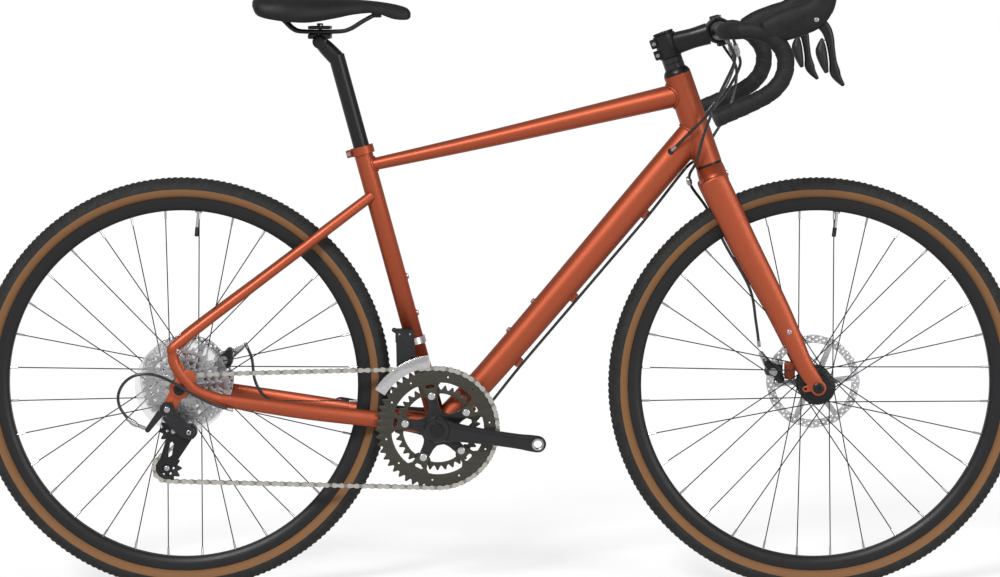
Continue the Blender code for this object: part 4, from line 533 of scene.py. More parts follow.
def wrapped(*discs):
    """The outline of a band drawn tight round discs of (centre, radius)."""
    loops = belt([(centre, radius, 1) for centre, radius in discs], math.radians(9.0))
    return [(x, z) for rows in loops for x, z, _ in rows]


def toothed(centre, teeth, cut=0.0):
    """A sprocket's outline, with rounded valleys and narrow tips."""
    outline = []
    pitch = CHAIN_PITCH / (2.0 * math.sin(math.pi / teeth))
    tip = CHAIN_PITCH * (0.58 + 1.0 / math.tan(math.pi / teeth)) / 2.0 - cut
    step = 2.0 * math.pi / teeth
    valley = pitch - 0.004
    for i in range(teeth):
        turn = i * step
        for part, radius in ((-0.17, pitch - 0.0022), (-0.09, valley + 0.0004), (0.0, valley)):
            outline.append(polar(centre, radius, turn + part * step))
        outline.append(polar(centre, valley + 0.0004, turn + 0.09 * step))
        outline.append(polar(centre, pitch - 0.0022, turn + 0.17 * step))
        outline.append(polar(centre, tip, turn + 0.41 * step))
        outline.append(polar(centre, tip, turn + 0.59 * step))
    return outline


def plate(outline, low, high, holes=(), edge=0.0003):
    """A flat piece square to Y, from a side-view outline, with softened edges."""
    curve = bpy.data.curves.new("plate outline", "CURVE")
    curve.dimensions = "2D"
    curve.fill_mode = "BOTH"
    edge = min(edge, (high - low) / 2.2)
    curve.extrude = (high - low) / 2.0 - edge
    curve.bevel_depth = edge
    curve.bevel_resolution = 1
    curve.offset = -edge
    for loop in [outline, *holes]:
        spline = curve.splines.new("POLY")
        spline.points.add(len(loop) - 1)
        for point, (x, z) in zip(spline.points, loop):
            point.co = (x, z, 0.0, 1.0)
        spline.use_cyclic_u = True
    holder = bpy.data.objects.new("plate outline", curve)
    bpy.context.scene.collection.objects.link(holder)
    mesh = bpy.data.meshes.new_from_object(holder.evaluated_get(bpy.context.evaluated_depsgraph_get()))
    middle = (low + high) / 2.0
    points = [Vector((v.co.x, middle - v.co.z, v.co.y)) for v in mesh.vertices]
    faces = [tuple(p.vertices) for p in mesh.polygons]
    bpy.data.objects.remove(holder)
    bpy.data.meshes.remove(mesh)
    bpy.data.curves.remove(curve)
    return points, faces


def block(centre, half_x, half_y, half_z, along=None, edge=0.0015):
    """A block with rounded edges, its long side along a direction in the side view."""
    ahead = (along or Vector((1.0, 0.0, 0.0))).normalized()
    up = Y.cross(ahead)
    rings = []
    for offset, inset in ((-1.0, edge), (-1.0, 0.0), (1.0, 0.0), (1.0, edge)):
        y = offset * (half_y - (edge if inset == 0.0 else 0.0))
        ring = section(centre + Y * y, ahead, -up, half_x - inset, half_z - inset, 32, 9.0)
        rings.append(ring)
    return loft(rings)


# ---------------------------------------------------------------- pieces


def piece(name, shape, finish, body, replaces=(), sharp=38.0):
    """A mesh object with one finish, riding a body, in place of some solids."""
    points, faces = shape
    mesh = bpy.data.meshes.new(name)
    bm = bmesh.new()
    verts = [bm.verts.new(point) for point in points]
    for face in faces:
        if len(set(face)) > 2:
            try:
                bm.faces.new([verts[i] for i in face])
            except ValueError:
                pass
    bmesh.ops.remove_doubles(bm, verts=bm.verts, dist=0.000002)
    bmesh.ops.recalc_face_normals(bm, faces=bm.faces)
    limit = math.radians(sharp)
    for face in bm.faces:
        face.smooth = True
    for edge in bm.edges:
        edge.smooth = edge.calc_face_angle(0.0) < limit
    bm.to_mesh(mesh)
    bm.free()
    mesh.materials.append(finish)
    made = bpy.data.objects.new(name, mesh)
    bpy.context.scene.collection.objects.link(made)
    if body:
        seat(made, body, replaces)
    return made


def seat(made, body, replaces=()):
    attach(made, body)
    if replaces:
        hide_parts(*replaces)
    return made


def carved(made, *shapes):
    """Cuts shapes out of a piece."""
    for number, shape in enumerate(shapes):
        tool = piece(f"{made.name}_tool_{number}", shape, SHADOW_BLACK, None)
        change = made.modifiers.new("cut", "BOOLEAN")
        change.operation = "DIFFERENCE"
        change.solver = "EXACT"
        change.object = tool
        bake(made)
        bpy.data.objects.remove(tool)
    return made


def bake(made):
    """Turns a piece's modifiers into its mesh."""
    bpy.context.view_layer.update()
    graph = bpy.context.evaluated_depsgraph_get()
    mesh = bpy.data.meshes.new_from_object(made.evaluated_get(graph))
    made.modifiers.clear()
    old = made.data
    made.data = mesh
    bpy.data.meshes.remove(old)
    return made


def copies_tree(name):
    """Copies of an item at a mesh's points, each turned about Y by the point's own angle."""
    tree = bpy.data.node_groups.new(name, "GeometryNodeTree")
    face = tree.interface
    face.new_socket("Geometry", in_out="INPUT", socket_type="NodeSocketGeometry")
    face.new_socket("Item", in_out="INPUT", socket_type="NodeSocketObject")
    face.new_socket("Size", in_out="INPUT", socket_type="NodeSocketFloat").default_value = 1.0
    face.new_socket("Finish", in_out="INPUT", socket_type="NodeSocketMaterial")
    face.new_socket("Geometry", in_out="OUTPUT", socket_type="NodeSocketGeometry")
    nodes, links = tree.nodes, tree.links
    start = nodes.new("NodeGroupInput")
    end = nodes.new("NodeGroupOutput")
    item = nodes.new("GeometryNodeObjectInfo")
    item.transform_space = "RELATIVE"
    turn = nodes.new("GeometryNodeInputNamedAttribute")
    turn.data_type = "FLOAT_VECTOR"
    turn.inputs["Name"].default_value = "turn"
    rotation = nodes.new("FunctionNodeEulerToRotation")
    put = nodes.new("GeometryNodeInstanceOnPoints")
    real = nodes.new("GeometryNodeRealizeInstances")
    look = nodes.new("GeometryNodeSetMaterial")
    links.new(start.outputs["Item"], item.inputs["Object"])
    links.new(start.outputs["Geometry"], put.inputs["Points"])
    links.new(item.outputs["Geometry"], put.inputs["Instance"])
    links.new(turn.outputs["Attribute"], rotation.inputs["Euler"])
    links.new(rotation.outputs["Rotation"], put.inputs["Rotation"])
    links.new(start.outputs["Size"], put.inputs["Scale"])
    links.new(put.outputs["Instances"], real.inputs["Geometry"])
    links.new(real.outputs["Geometry"], look.inputs["Geometry"])
    links.new(start.outputs["Finish"], look.inputs["Material"])
    links.new(look.outputs["Geometry"], end.inputs["Geometry"])
    return tree


COPIES = copies_tree("copies_at_places")


def copied(name, item_shape, places, finish, body):
    """Copies of a shape, made about the origin, at places of (point, (turn x, turn y, turn z))."""
    item = piece(f"{name}_item", item_shape, finish, None)
    mesh = bpy.data.meshes.new(name)
    mesh.from_pydata([tuple(place) for place, _ in places], [], [])
    turns = mesh.attributes.new("turn", "FLOAT_VECTOR", "POINT")
    for value, (_, turn) in zip(turns.data, places):
        value.vector = turn
    made = bpy.data.objects.new(name, mesh)
    bpy.context.scene.collection.objects.link(made)
    change = made.modifiers.new("copies", "NODES")
    change.node_group = COPIES
    names = {socket.name: socket.identifier for socket in COPIES.interface.items_tree}
    change[names["Item"]] = item
    change[names["Size"]] = 1.0
    change[names["Finish"]] = finish
    bake(made)
    bpy.data.objects.remove(item)
    if "turn" in made.data.attributes:
        made.data.attributes.remove(made.data.attributes["turn"])
    if body:
        seat(made, body)
    return made


def about(centre, count, start=0.0):
    """Places round an axle for copies of a shape made at its right-hand side."""
    places = []
    for i in range(count):
        turn = start + 2.0 * math.pi * i / count
        places.append(((centre.x, 0.0, centre.z), (0.0, -turn, 0.0)))
    return places


def joined(name, pieces, body, replaces=()):
    """Makes several pieces of one body into one object that keeps their finishes."""
    first = pieces[0]
    bpy.ops.object.select_all(action="DESELECT")
    for made in pieces:
        made.select_set(True)
    bpy.context.view_layer.objects.active = first
    bpy.ops.object.join()
    first.name = name
    return seat(first, body, replaces)

# ---------------------------------------------------------------- frame

TOP_TUBE_ROWS = (
    # x, z, half width, half height
    (seat_point(0.4545).x, seat_point(0.4545).z, 0.012, 0.0104),
    (-0.0328, 0.7627, 0.016, 0.0136),
    (0.17, 0.8099, 0.0182, 0.0172),
    (head_point(0.5384).x, head_point(0.5384).z, 0.0196, 0.0198),
)
DOWN_TUBE_ROWS = (
    (BOTTOM_BRACKET.x + 0.0057, BOTTOM_BRACKET.z + 0.0008, 0.0225, 0.0215),
    (0.0008, 0.3903, 0.0232, 0.0228),
    (0.2597, 0.6968, 0.0222, 0.025),
    (head_point(0.4736).x, head_point(0.4736).z, 0.0205, 0.0256),
)
DOWN_MIDDLE = Vector((0.0008, 0.0, 0.3903))
DOWN_AHEAD = (Vector((0.2597, 0.0, 0.6968)) - DOWN_MIDDLE).normalized()
DOWN_ABOVE = Vector((-DOWN_AHEAD.z, 0.0, DOWN_AHEAD.x))
SEATSTAY_ROWS = (
    # x, y, z, half width, half height
    (-0.214, 0.0115, 0.6715, 0.008, 0.0085),
    (-0.25, 0.0215, 0.6443, 0.008, 0.0085),
    (-0.297, 0.032, 0.6088, 0.0078, 0.0085),
    (-0.4, 0.049, 0.531, 0.0078, 0.0084),
    (-0.533, STAY_Y, 0.4304, 0.007, 0.0088),
    (-0.5435, STAY_Y, 0.413, 0.0066, 0.0092),
    (-0.5425, STAY_Y, 0.396, 0.0062, 0.0096),
    (-0.529, STAY_Y, 0.372, 0.006, 0.0098),
    (-0.508, STAY_Y, 0.35, 0.006, 0.01),
    (-0.482, STAY_Y, 0.3385, 0.0064, 0.0102),
    (-0.464, STAY_Y, 0.3334, 0.0066, 0.0102),
    (-0.455, 0.0735, 0.332, 0.0064, 0.01),
)
CHAINSTAY_ROWS = (
    (-0.464, STAY_Y, 0.3334, 0.007, 0.0105),
    (-0.33, 0.059, 0.3128, 0.009, 0.0135),
    (-0.21, 0.0345, 0.296, 0.0085, 0.014),
    (-0.15, 0.0235, 0.288, 0.0088, 0.015),
    (BOTTOM_BRACKET.x - 0.002, 0.0225, BOTTOM_BRACKET.z, 0.0095, 0.015),
)


def middle_rows(rows):
    return [(x, 0.0, z, wide, high) for x, z, wide, high in rows]


def meets(start, heading, foot, along, radius):
    """Where a line first meets a round tube, or None."""
    apart = start - foot
    a = heading - along * heading.dot(along)
    b = apart - along * apart.dot(along)
    first = a.dot(a)
    half = a.dot(b)
    rest = b.dot(b) - radius * radius
    inside = half * half - first * rest
    if inside < 0.0 or first < 1e-9:
        return None
    return start + heading * ((-half - math.sqrt(inside)) / first)


def weld_bead(end, heading, across, half_across, half_up, foot, along, radius, size=0.0021):
    """The bead where a tube that runs along a heading meets a round tube."""
    up = heading.cross(across)
    route = []
    for i in range(96):
        turn = 2.0 * math.pi * i / 96
        place = across * half_across * math.cos(turn) + up * half_up * math.sin(turn)
        start = end - heading * 0.2 + place
        found = meets(start, heading, foot, along, radius)
        if found is None:
            return None
        ripple = 0.00025 * math.cos(48.0 * turn)
        route.append((found, size + ripple))
    points = [place for place, _ in route]
    rings = []
    for i, (place, wide) in enumerate(route):
        ahead = (points[(i + 1) % 96] - points[i - 1]).normalized()
        out = (place - foot) - along * (place - foot).dot(along)
        out = (out - ahead * out.dot(ahead)).normalized()
        rings.append(section(place, out, ahead.cross(out), wide, wide * 1.25, 10))
    return loft(rings, loop=True)


def frame_tubes():
    head = lathe_between(head_point(HEAD_LOW), head_point(HEAD_HIGH), 0.023, 0.0205)
    piece("head_tube_skin", head, COPPER, "frame", ["head_tube"])
    top = limb(middle_rows(TOP_TUBE_ROWS), 48, steps=16)
    down = limb(middle_rows(DOWN_TUBE_ROWS), 48, steps=16, power=2.15)
    seat = rod(seat_point(0.01), seat_point(0.4885), 0.0158, 48)
    top_piece = piece("top_tube_skin", top, COPPER, "frame", ["top_tube"])
    down_piece = piece("down_tube_skin", down, COPPER, "frame", ["down_tube"])
    seat_piece = piece("seat_tube_skin", seat, COPPER, "frame", ["seat_tube"])
    head_room = rod(head_point(HEAD_LOW - 0.03), head_point(HEAD_HIGH + 0.03), 0.0226, 48)
    shell_room = rod(BOTTOM_BRACKET - Y * 0.06, BOTTOM_BRACKET + Y * 0.06, 0.019, 48)
    carved(top_piece, head_room)
    carved(down_piece, head_room, shell_room)
    carved(seat_piece, shell_room, rod(seat_point(0.27), seat_point(0.5), 0.014, 48))
    shell = [(-0.034, 0.0172), (-0.034, 0.0192), (-0.0332, 0.02), (0.0332, 0.02), (0.034, 0.0192)]
    shell += [(0.034, 0.0172)]
    piece("bracket_shell", ring_lathe(BOTTOM_BRACKET, shell), COPPER, "frame")
    for side, name in ((1, "left"), (-1, "right")):
        stay = limb(SEATSTAY_ROWS, 28, steps=8)
        chain = limb(CHAINSTAY_ROWS, 28, steps=12)
        stays = piece(f"{name}_seatstay", sided(stay, side), COPPER, "frame")
        low = piece(f"{name}_chainstay", sided(chain, side), COPPER, "frame")
        carved(stays, rod(seat_point(0.3), seat_point(0.5), 0.0154, 32))
        carved(low, shell_room)
        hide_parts("seatstays")
        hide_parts("chainstays")
    bridge = Vector(SEATSTAY_ROWS[1][:3])
    across = [(bridge.x, -bridge.y, bridge.z, 0.0066, 0.0066), (bridge.x, 0.0, bridge.z, 0.0058, 0.0058)]
    across.append((bridge.x, bridge.y, bridge.z, 0.0066, 0.0066))
    piece("seatstay_bridge", limb(across, 24, across=Z, steps=6), COPPER, "frame")


def lathe_between(start, end, outer, inner, sides=64):
    """A straight tube with softened rims."""
    along = (end - start).normalized()
    across, up = square_to(along)
    length = (end - start).length
    stations = [(0.0, inner), (0.0, outer - 0.0006), (0.0006, outer), (length - 0.0006, outer)]
    stations += [(length, outer - 0.0006), (length, inner)]
    rings = [section(start + along * h, across, up, r, r, sides) for h, r in stations]
    return loft(rings, loop=True)


def ring_lathe(place, stations, sides=64):
    return lathe(place, stations, sides, loop=True)


def frame_welds():
    beads = []
    top_end = Vector((TOP_TUBE_ROWS[3][0], 0.0, TOP_TUBE_ROWS[3][1]))
    top_run = (top_end - Vector((0.23, 0.0, 0.8242))).normalized()
    beads.append(weld_bead(top_end, top_run, Y, 0.0195, 0.0197, head_point(0.5), HEAD_UP, 0.023))
    down_end = Vector((DOWN_TUBE_ROWS[3][0], 0.0, DOWN_TUBE_ROWS[3][1]))
    down_run = (down_end - Vector((0.2597, 0.0, 0.6968))).normalized()
    beads.append(weld_bead(down_end, down_run, Y, 0.0206, 0.0256, head_point(0.5), HEAD_UP, 0.023))
    seat_end = Vector((TOP_TUBE_ROWS[0][0], 0.0, TOP_TUBE_ROWS[0][1]))
    back = (seat_end - Vector((-0.12, 0.0, 0.744))).normalized()
    beads.append(weld_bead(seat_end, back, Y, 0.0124, 0.0108, seat_point(0.4), SEAT_UP, 0.0158))
    down_foot = -DOWN_AHEAD
    shell = BOTTOM_BRACKET
    beads.append(weld_bead(shell, down_foot, Y, 0.0227, 0.0195, shell, Y, 0.02))
    beads.append(weld_bead(shell, -SEAT_UP, Y, 0.0158, 0.0158, shell, Y, 0.02))
    shape = together(*[bead for bead in beads if bead])
    piece("weld_beads", shape, COPPER, "frame", sharp=80.0)


def frame_fittings():
    """Dropouts, bosses, cable guides, the seat collar and the frame's own bolts."""
    tabs = []
    low, high = STAY_Y - 0.0035, STAY_Y + 0.0035
    slot = wrapped((REAR_AXLE, 0.0165), (REAR_AXLE + Vector((0.015, 0.0, 0.02)), 0.013))
    hanger = wrapped((HANGER, 0.0105), (REAR_AXLE, 0.013))
    hole = circle(REAR_AXLE, 0.0063, 36)
    gusset = wrapped(
        (Vector((-0.533, 0.0, 0.39)), 0.006), (Vector((-0.495, 0.0, 0.346)), 0.007),
        (REAR_AXLE, 0.013),
    )
    for side in (1, -1):
        tab = plate(slot, low, high, [hole], edge=0.0008)
        tabs.append(sided(tab, side))
        web = plate(gusset, STAY_Y - 0.0024, STAY_Y + 0.0024, [hole], edge=0.0008)
        tabs.append(sided(web, side))
    tabs.append(
        plate(hanger, -high + 0.0005, -low - 0.0005, [hole, circle(HANGER, 0.0052, 24)], edge=0.0008)
    )
    stand = Vector((-0.4705, 0.067, 0.3546))
    tabs.append(block(stand, 0.015, 0.0055, 0.011, edge=0.0015))
    piece("dropouts", together(*tabs), COPPER, "frame")
    bosses = []
    bolts = []
    for along in (0.05, 0.114):
        foot = DOWN_MIDDLE + DOWN_AHEAD * along + DOWN_ABOVE * 0.0222
        bosses.append(rod(foot - DOWN_ABOVE * 0.002, foot + DOWN_ABOVE * 0.0012, 0.006, 24))
        bolts.append(hex_bolt(foot + DOWN_ABOVE * 0.001, DOWN_ABOVE, 0.0044, 0.003))
    for along in (0.193, 0.257):
        foot = seat_point(along, 0.015)
        bosses.append(rod(foot - SEAT_AHEAD * 0.002, foot + SEAT_AHEAD * 0.0014, 0.006, 24))
        bolts.append(hex_bolt(foot + SEAT_AHEAD * 0.0012, SEAT_AHEAD, 0.0044, 0.0016 + 0.0012))
    for along in (0.348, 0.163, 0.019):
        centre = DOWN_MIDDLE + DOWN_AHEAD * along - DOWN_ABOVE * 0.0255
        bosses.append(block(centre, 0.0085, 0.0048, 0.0034, DOWN_AHEAD, edge=0.0012))
    for place, y, out in (
        (Vector((-0.535, 0.0, 0.415)), 0.08, 1.0), (Vector((-0.535, 0.0, 0.415)), -0.08, -1.0)
    ):
        bosses.append(rod(place + Y * (y - out * 0.004), place + Y * y, 0.0052, 24))
        bolts.append(hex_bolt(place + Y * (y - out * 0.001), Y * out, 0.004, 0.0022))
    piece("frame_bosses", together(*bosses), COPPER, "frame")
    piece("frame_bolts", together(*bolts), BOLT_STEEL, "frame")
    top = 0.4885
    band = lathe_between(seat_point(top - 0.014), seat_point(top), 0.0197, 0.0161, 48)
    lug = block(seat_point(top - 0.007, -0.0225), 0.0052, 0.0078, 0.0064, SEAT_AHEAD, edge=0.0018)
    slit = block(seat_point(top - 0.007, -0.0245), 0.0052, 0.0009, 0.0067, SEAT_AHEAD, edge=0.0002)
    piece("collar_band", band, COPPER, "frame", ["seat_collar"])
    lug_piece = piece("collar_lug", lug, COPPER, "frame")
    carved(lug_piece, slit)
    centre = seat_point(top - 0.007, -0.0233)
    bolt = [hex_bolt(centre - Y * 0.0072, -Y, 0.0038, 0.004), rod(centre, centre + Y * 0.0108, 0.0036, 24)]
    piece("collar_bolt", together(*bolt), BOLT_STEEL, "frame")
    port_rims = []
    for side in (1, -1):
        place = Vector((0.2868, side * 0.0212, 0.7462))
        port_rims.append(rod(place - Y * side * 0.002, place + Y * side * 0.0016, 0.0052, 24))
    piece("cable_ports", together(*port_rims), BLACK_GLOSS, "frame")


def bracket_cups():
    cups = []
    for side in (-1, 1):
        rows = [
            (0.0343, 0.009), (0.0343, 0.019), (0.035, 0.0196), (0.0362, 0.0196), (0.0368, 0.0188),
            (0.0368, 0.009),
        ]
        cups.append(ring_lathe(BOTTOM_BRACKET, [(side * y, r) for y, r in rows], 48))
    piece("bracket_cups", together(*cups), BLACK_METAL, "frame", ["bottom_bracket_cartridge"])


# ---------------------------------------------------------------- wheels


def in_window(centre, low, high, start, end, steps=7):
    """A window between two radii and two angles, its corners cut."""
    inset = math.radians(1.6)
    points = [polar(centre, low, start + (end - start) * i / steps) for i in range(steps + 1)]
    points += [polar(centre, (low + high) / 2.0, end + inset)]
    points += [polar(centre, high, end + (start - end) * i / steps) for i in range(steps + 1)]
    points += [polar(centre, (low + high) / 2.0, start - inset)]
    return points


def tyre_block(turn, ahead, half_long, half_wide, height):
    """One tread knob at an angle round the tyre's section, standing on the casing."""
    t = math.radians(turn)
    out = Vector((math.sin(t), math.cos(t), 0.0))
    across = Vector((-math.cos(t), math.sin(t), 0.0))
    foot = Vector((0.331, 0.0, 0.0)) + Vector((math.sin(t) * 0.0187, math.cos(t) * 0.0193, 0.0))
    foot += Z * ahead
    rings = []
    for rise, share in ((-0.0008, 1.0), (height, 0.8)):
        corners = ((-1, -1), (1, -1), (1, 1), (-1, 1))
        centre = foot + out * rise
        rings.append(
            [centre + across * half_wide * share * a + Z * half_long * share * b for a, b in corners]
        )
    return loft(rings)


def tread_unit():
    blocks = []
    for side, lag in ((1.0, 0.0), (-1.0, 0.0025)):
        for turn, ahead, long, wide, height in (
            (80.0, 0.0, 0.0017, 0.0022, 0.0011),
            (62.0, 0.0025, 0.0015, 0.002, 0.0011),
            (44.0, 0.0, 0.0016, 0.002, 0.001),
            (27.0, 0.0025, 0.0015, 0.002, 0.0008),
        ):
            angle = turn if side > 0 else 180.0 - turn
            blocks.append(tyre_block(angle, ahead + lag, long, wide, height))
    return together(*blocks)


def tyre(name, centre, body):
    half = 0.0195
    profile = []
    for turn in range(-38, 219, 8):
        t = math.radians(turn)
        profile.append((half * math.cos(t), 0.331 + 0.0188 * math.sin(t)))
    profile.insert(0, (0.009, 0.3125))
    profile.insert(1, (0.0093, 0.3174))
    profile.append((-0.0093, 0.3174))
    profile.append((-0.009, 0.3125))
    casing = ring_lathe(centre, profile, 144)
    finish = tyre_rubber(f"{name}_rubber", centre, 0.3162, 0.3312)
    piece(f"{name}_casing", casing, finish, body, [name], sharp=70.0)
    copied(f"{name}_knobs", tread_unit(), about(centre, 212), finish, body)


def rim(name, centre, body):
    profile = [
        (0.012, 0.317), (0.0122, 0.312), (0.0118, 0.305), (0.0095, 0.2985), (0.0062, 0.2952),
        (0.0, 0.2946), (-0.0062, 0.2952), (-0.0095, 0.2985), (-0.0118, 0.305), (-0.0122, 0.312),
        (-0.012, 0.317), (-0.01, 0.317), (-0.0096, 0.308), (0.0096, 0.308), (0.01, 0.317),
    ]
    piece(f"{name}_hoop", ring_lathe(centre, profile, 160), DARK_RIM, body, [name])


def spoke_kind(flange_y, face, outward, trailing):
    """A spoke with its elbow through the flange and its nipple, with the rim place at the right."""
    lean = math.radians(67.5) * (1.0 if trailing else -1.0)
    hole = Vector((0.0275 * math.cos(lean), flange_y, 0.0275 * math.sin(lean)))
    rim_place = Vector((0.2935, outward * 0.0025 + face * 0.001, 0.0))
    beside = Y * face * 0.0024
    start = hole + beside
    heading = (rim_place - start).normalized()
    route = [hole - beside * 0.95, hole + beside * 0.55, start + heading * 0.0014, start + heading * 0.005]
    route += [rim_place - heading * 0.01]
    wire = cable(route, 0.00095, 6)
    head = rod(hole - beside * 1.25, hole - beside * 0.85, 0.002, 8, 0.0002)
    nipple = rod(rim_place - heading * 0.0125, rim_place + heading * 0.003, 0.0019, 8, 0.0003)
    return together(wire, head), nipple


def laced(name, centre, flanges, body):
    wires = []
    for left in (True, False):
        for trailing in (True, False):
            outward = 1.0 if left else -1.0
            face = outward if trailing else -outward
            flange_y = flanges[0] if left else flanges[1]
            first = (0 if left else 1) + (0 if trailing else 2)
            start = (first + 0.5) * 2.0 * math.pi / SPOKES
            wire, nipple = spoke_kind(flange_y, face, outward, trailing)
            label = f"{name}_{'left' if left else 'right'}_{'a' if trailing else 'b'}"
            places = about(centre, SPOKES // 4, start)
            wires.append(copied(f"{label}_spokes", wire, places, DARK_SPOKE, None))
            wires.append(copied(f"{label}_nipples", nipple, places, BOLT_STEEL, None))
    joined(f"{name}_spokes", wires, body)


def hub(name, centre, flanges, ends, rotor_y, body):
    left_y, right_y = flanges
    left_end, right_end = ends
    face = rotor_y - 0.0012
    rows = [
        (right_end, 0.0102), (right_end, 0.02), (right_end + 0.001, 0.0208), (right_y - 0.0025, 0.0212),
        (right_y - 0.0015, 0.03), (right_y - 0.001, 0.031), (right_y + 0.001, 0.031),
        (right_y + 0.0015, 0.03), (right_y + 0.0025, 0.02), (right_y + 0.009, 0.0165),
        (0.0, 0.015), (left_y - 0.009, 0.0165), (left_y - 0.0025, 0.02), (left_y - 0.0015, 0.03),
        (left_y - 0.001, 0.031),
        (left_y + 0.001, 0.031), (left_y + 0.0015, 0.03), (left_y + 0.0025, 0.0212), (face, 0.0212),
        (face, 0.014), (left_end, 0.014), (left_end, 0.0102),
    ]
    piece(f"{name}_shell", ring_lathe(centre, rows, 72), BLACK_METAL, body, [name])
    laced(name, centre, flanges, body)


def rotor(name, centre, y, finish, body):
    """A ground disc with a wavy edge, drilled track and six arms."""
    outline = []
    for i in range(180):
        turn = 2.0 * math.pi * i / 180
        outline.append(polar(centre, 0.0793 + 0.0006 * math.cos(12.0 * turn), turn))
    holes = [circle(centre, 0.0144, 48)]
    for i in range(6):
        turn = math.radians(60.0 * i)
        low = [polar(centre, 0.0262, turn + math.radians(a)) for a in (12.0, 24.0, 36.0, 48.0)]
        high = [polar(centre, 0.066, turn + math.radians(a)) for a in (61.0, 50.0, 40.0, 30.0, 20.0, 9.0)]
        holes.append(low + high)
    for i in range(36):
        for radius, lag, size in ((0.0762, 0.0, 0.0018), (0.0722, 5.0, 0.0019), (0.0685, 0.0, 0.0014)):
            x, z = polar(centre, radius, math.radians(10.0 * i + lag))
            holes.append(circle(Vector((x, 0.0, z)), size, 10))
    disc = plate(outline, y - 0.0009, y + 0.0009, holes, edge=0.0002)
    piece(f"{name}_disc", disc, finish, body, [name], sharp=30.0)
    rows = [
        (y + 0.0009, 0.015), (y + 0.0009, 0.0188), (y + 0.0034, 0.0188), (y + 0.0039, 0.0182),
        (y + 0.0039, 0.015),
    ]
    lock = [ring_lathe(centre, rows, 48)]
    piece(f"{name}_lock", together(*lock), BLACK_METAL, body)


def valve(name, centre, turn, body):
    """A metal valve stem with its nut and black cap."""
    out = -Vector((math.cos(turn), 0.0, math.sin(turn)))
    foot = centre - out * 0.2948
    stem = [
        rod(foot - out * 0.003, foot + out * 0.03, 0.0029, 20),
        rod(foot, foot + out * 0.0032, 0.0058, 20, 0.0006),
    ]
    piece(f"{name}_stem", together(*stem), SILVER, body)
    piece(f"{name}_cap", rod(foot + out * 0.027, foot + out * 0.043, 0.0036, 16, 0.0008), RESIN, body)


def axle_ends(name, centre, face, thick, body, node):
    """A through axle with its nuts outside the tabs and its end caps inside."""
    outside = face + thick + 0.0006
    parts = [rod(centre - Y * (outside + 0.0005), centre + Y * (outside + 0.0005), 0.0058, 24)]
    parts += [hex_bolt(centre + Y * side * outside, Y * side, 0.0092, 0.004, 0.42) for side in (1.0, -1.0)]
    for side in (1.0, -1.0):
        inner, outer = centre + Y * side * (face - 0.005), centre + Y * side * (face - 0.0003)
        parts.append(rod(inner, outer, 0.0108, 32, 0.0008))
    piece(name, together(*parts), BLACK_METAL, body, [node])


def wheels():
    tyre("front_tyre", FRONT_AXLE, "front_wheel")
    rim("front_rim", FRONT_AXLE, "front_wheel")
    hub("front_hub", FRONT_AXLE, (0.024, -0.034), (0.0445, -0.0445), 0.0395, "front_wheel")
    rotor("front_rotor", FRONT_AXLE, 0.0395, FRONT_ROTOR_STEEL, "front_wheel")
    valve("front_valve", FRONT_AXLE, math.radians(83.4), "front_wheel")
    axle_ends("front_axle_ends", FRONT_AXLE, 0.0503, 0.007, "steering", "front_axle")
    tyre("rear_tyre", REAR_AXLE, "rear_wheel")
    rim("rear_rim", REAR_AXLE, "rear_wheel")
    hub("rear_hub", REAR_AXLE, (0.034, -0.0165), (0.058, -0.0205), 0.0522, "rear_wheel")
    rotor("rear_rotor", REAR_AXLE, 0.0522, REAR_ROTOR_STEEL, "rear_wheel")
    valve("rear_valve", REAR_AXLE, math.radians(84.6), "rear_wheel")
    axle_ends("rear_axle_ends", REAR_AXLE, 0.071, 0.007, "frame", "rear_axle")
    guard_y = -0.0165 - 0.0015 - 0.002 - 0.0009
    rows = [(guard_y, 0.0186), (guard_y, 0.0795), (guard_y - 0.0005, 0.08), (guard_y - 0.0012, 0.08)]
    rows += [(guard_y - 0.0012, 0.0186)]
    piece("guard_disc", ring_lathe(REAR_AXLE, rows, 96), CLEAR, "rear_wheel", ["spoke_guard"])


# ---------------------------------------------------------------- drive


def chain_wheels():
    def pitch(teeth):
        return CHAIN_PITCH / (2.0 * math.sin(math.pi / teeth))

    return [
        (BOTTOM_BRACKET, pitch(RING_TEETH), -1, RING_Y),
        (TENSION, pitch(PULLEY_TEETH), -1, DRIVE_Y),
        (GUIDE, pitch(PULLEY_TEETH), 1, DRIVE_Y),
        (REAR_AXLE, pitch(COG_TEETH[0]), -1, DRIVE_Y),
    ]


def chain_pins():
    """The chain's pins, evenly along its loop."""
    rounds = chain_wheels()
    path = []
    for wheel, rows in zip(rounds, belt([wheel[:3] for wheel in rounds], math.radians(3.0))):
        path += [Vector((x, wheel[3], z)) for x, z, _ in rows]
    path.append(path[0])
    length = sum((b - a).length for a, b in zip(path, path[1:]))
    count = 2 * round(length / CHAIN_PITCH / 2.0)
    pins = []
    walked, target = 0.0, 0.0
    for a, b in zip(path, path[1:]):
        span = (b - a).length
        while target < walked + span and len(pins) < count:
            pins.append(a.lerp(b, (target - walked) / span))
            target += length / count
        walked += span
    return pins


PINS = chain_pins()


def pin_phase(centre, radius):
    """The angle of a chain pin that lies on a wheel."""
    best = min(PINS, key=lambda p: abs(math.hypot(p.x - centre.x, p.z - centre.z) - radius))
    return math.atan2(best.z - centre.z, best.x - centre.x)


def turned_outline(outline, centre, turn):
    c, s = math.cos(turn), math.sin(turn)
    result = []
    for x, z in outline:
        dx, dz = x - centre.x, z - centre.z
        result.append((centre.x + dx * c - dz * s, centre.z + dx * s + dz * c))
    return result


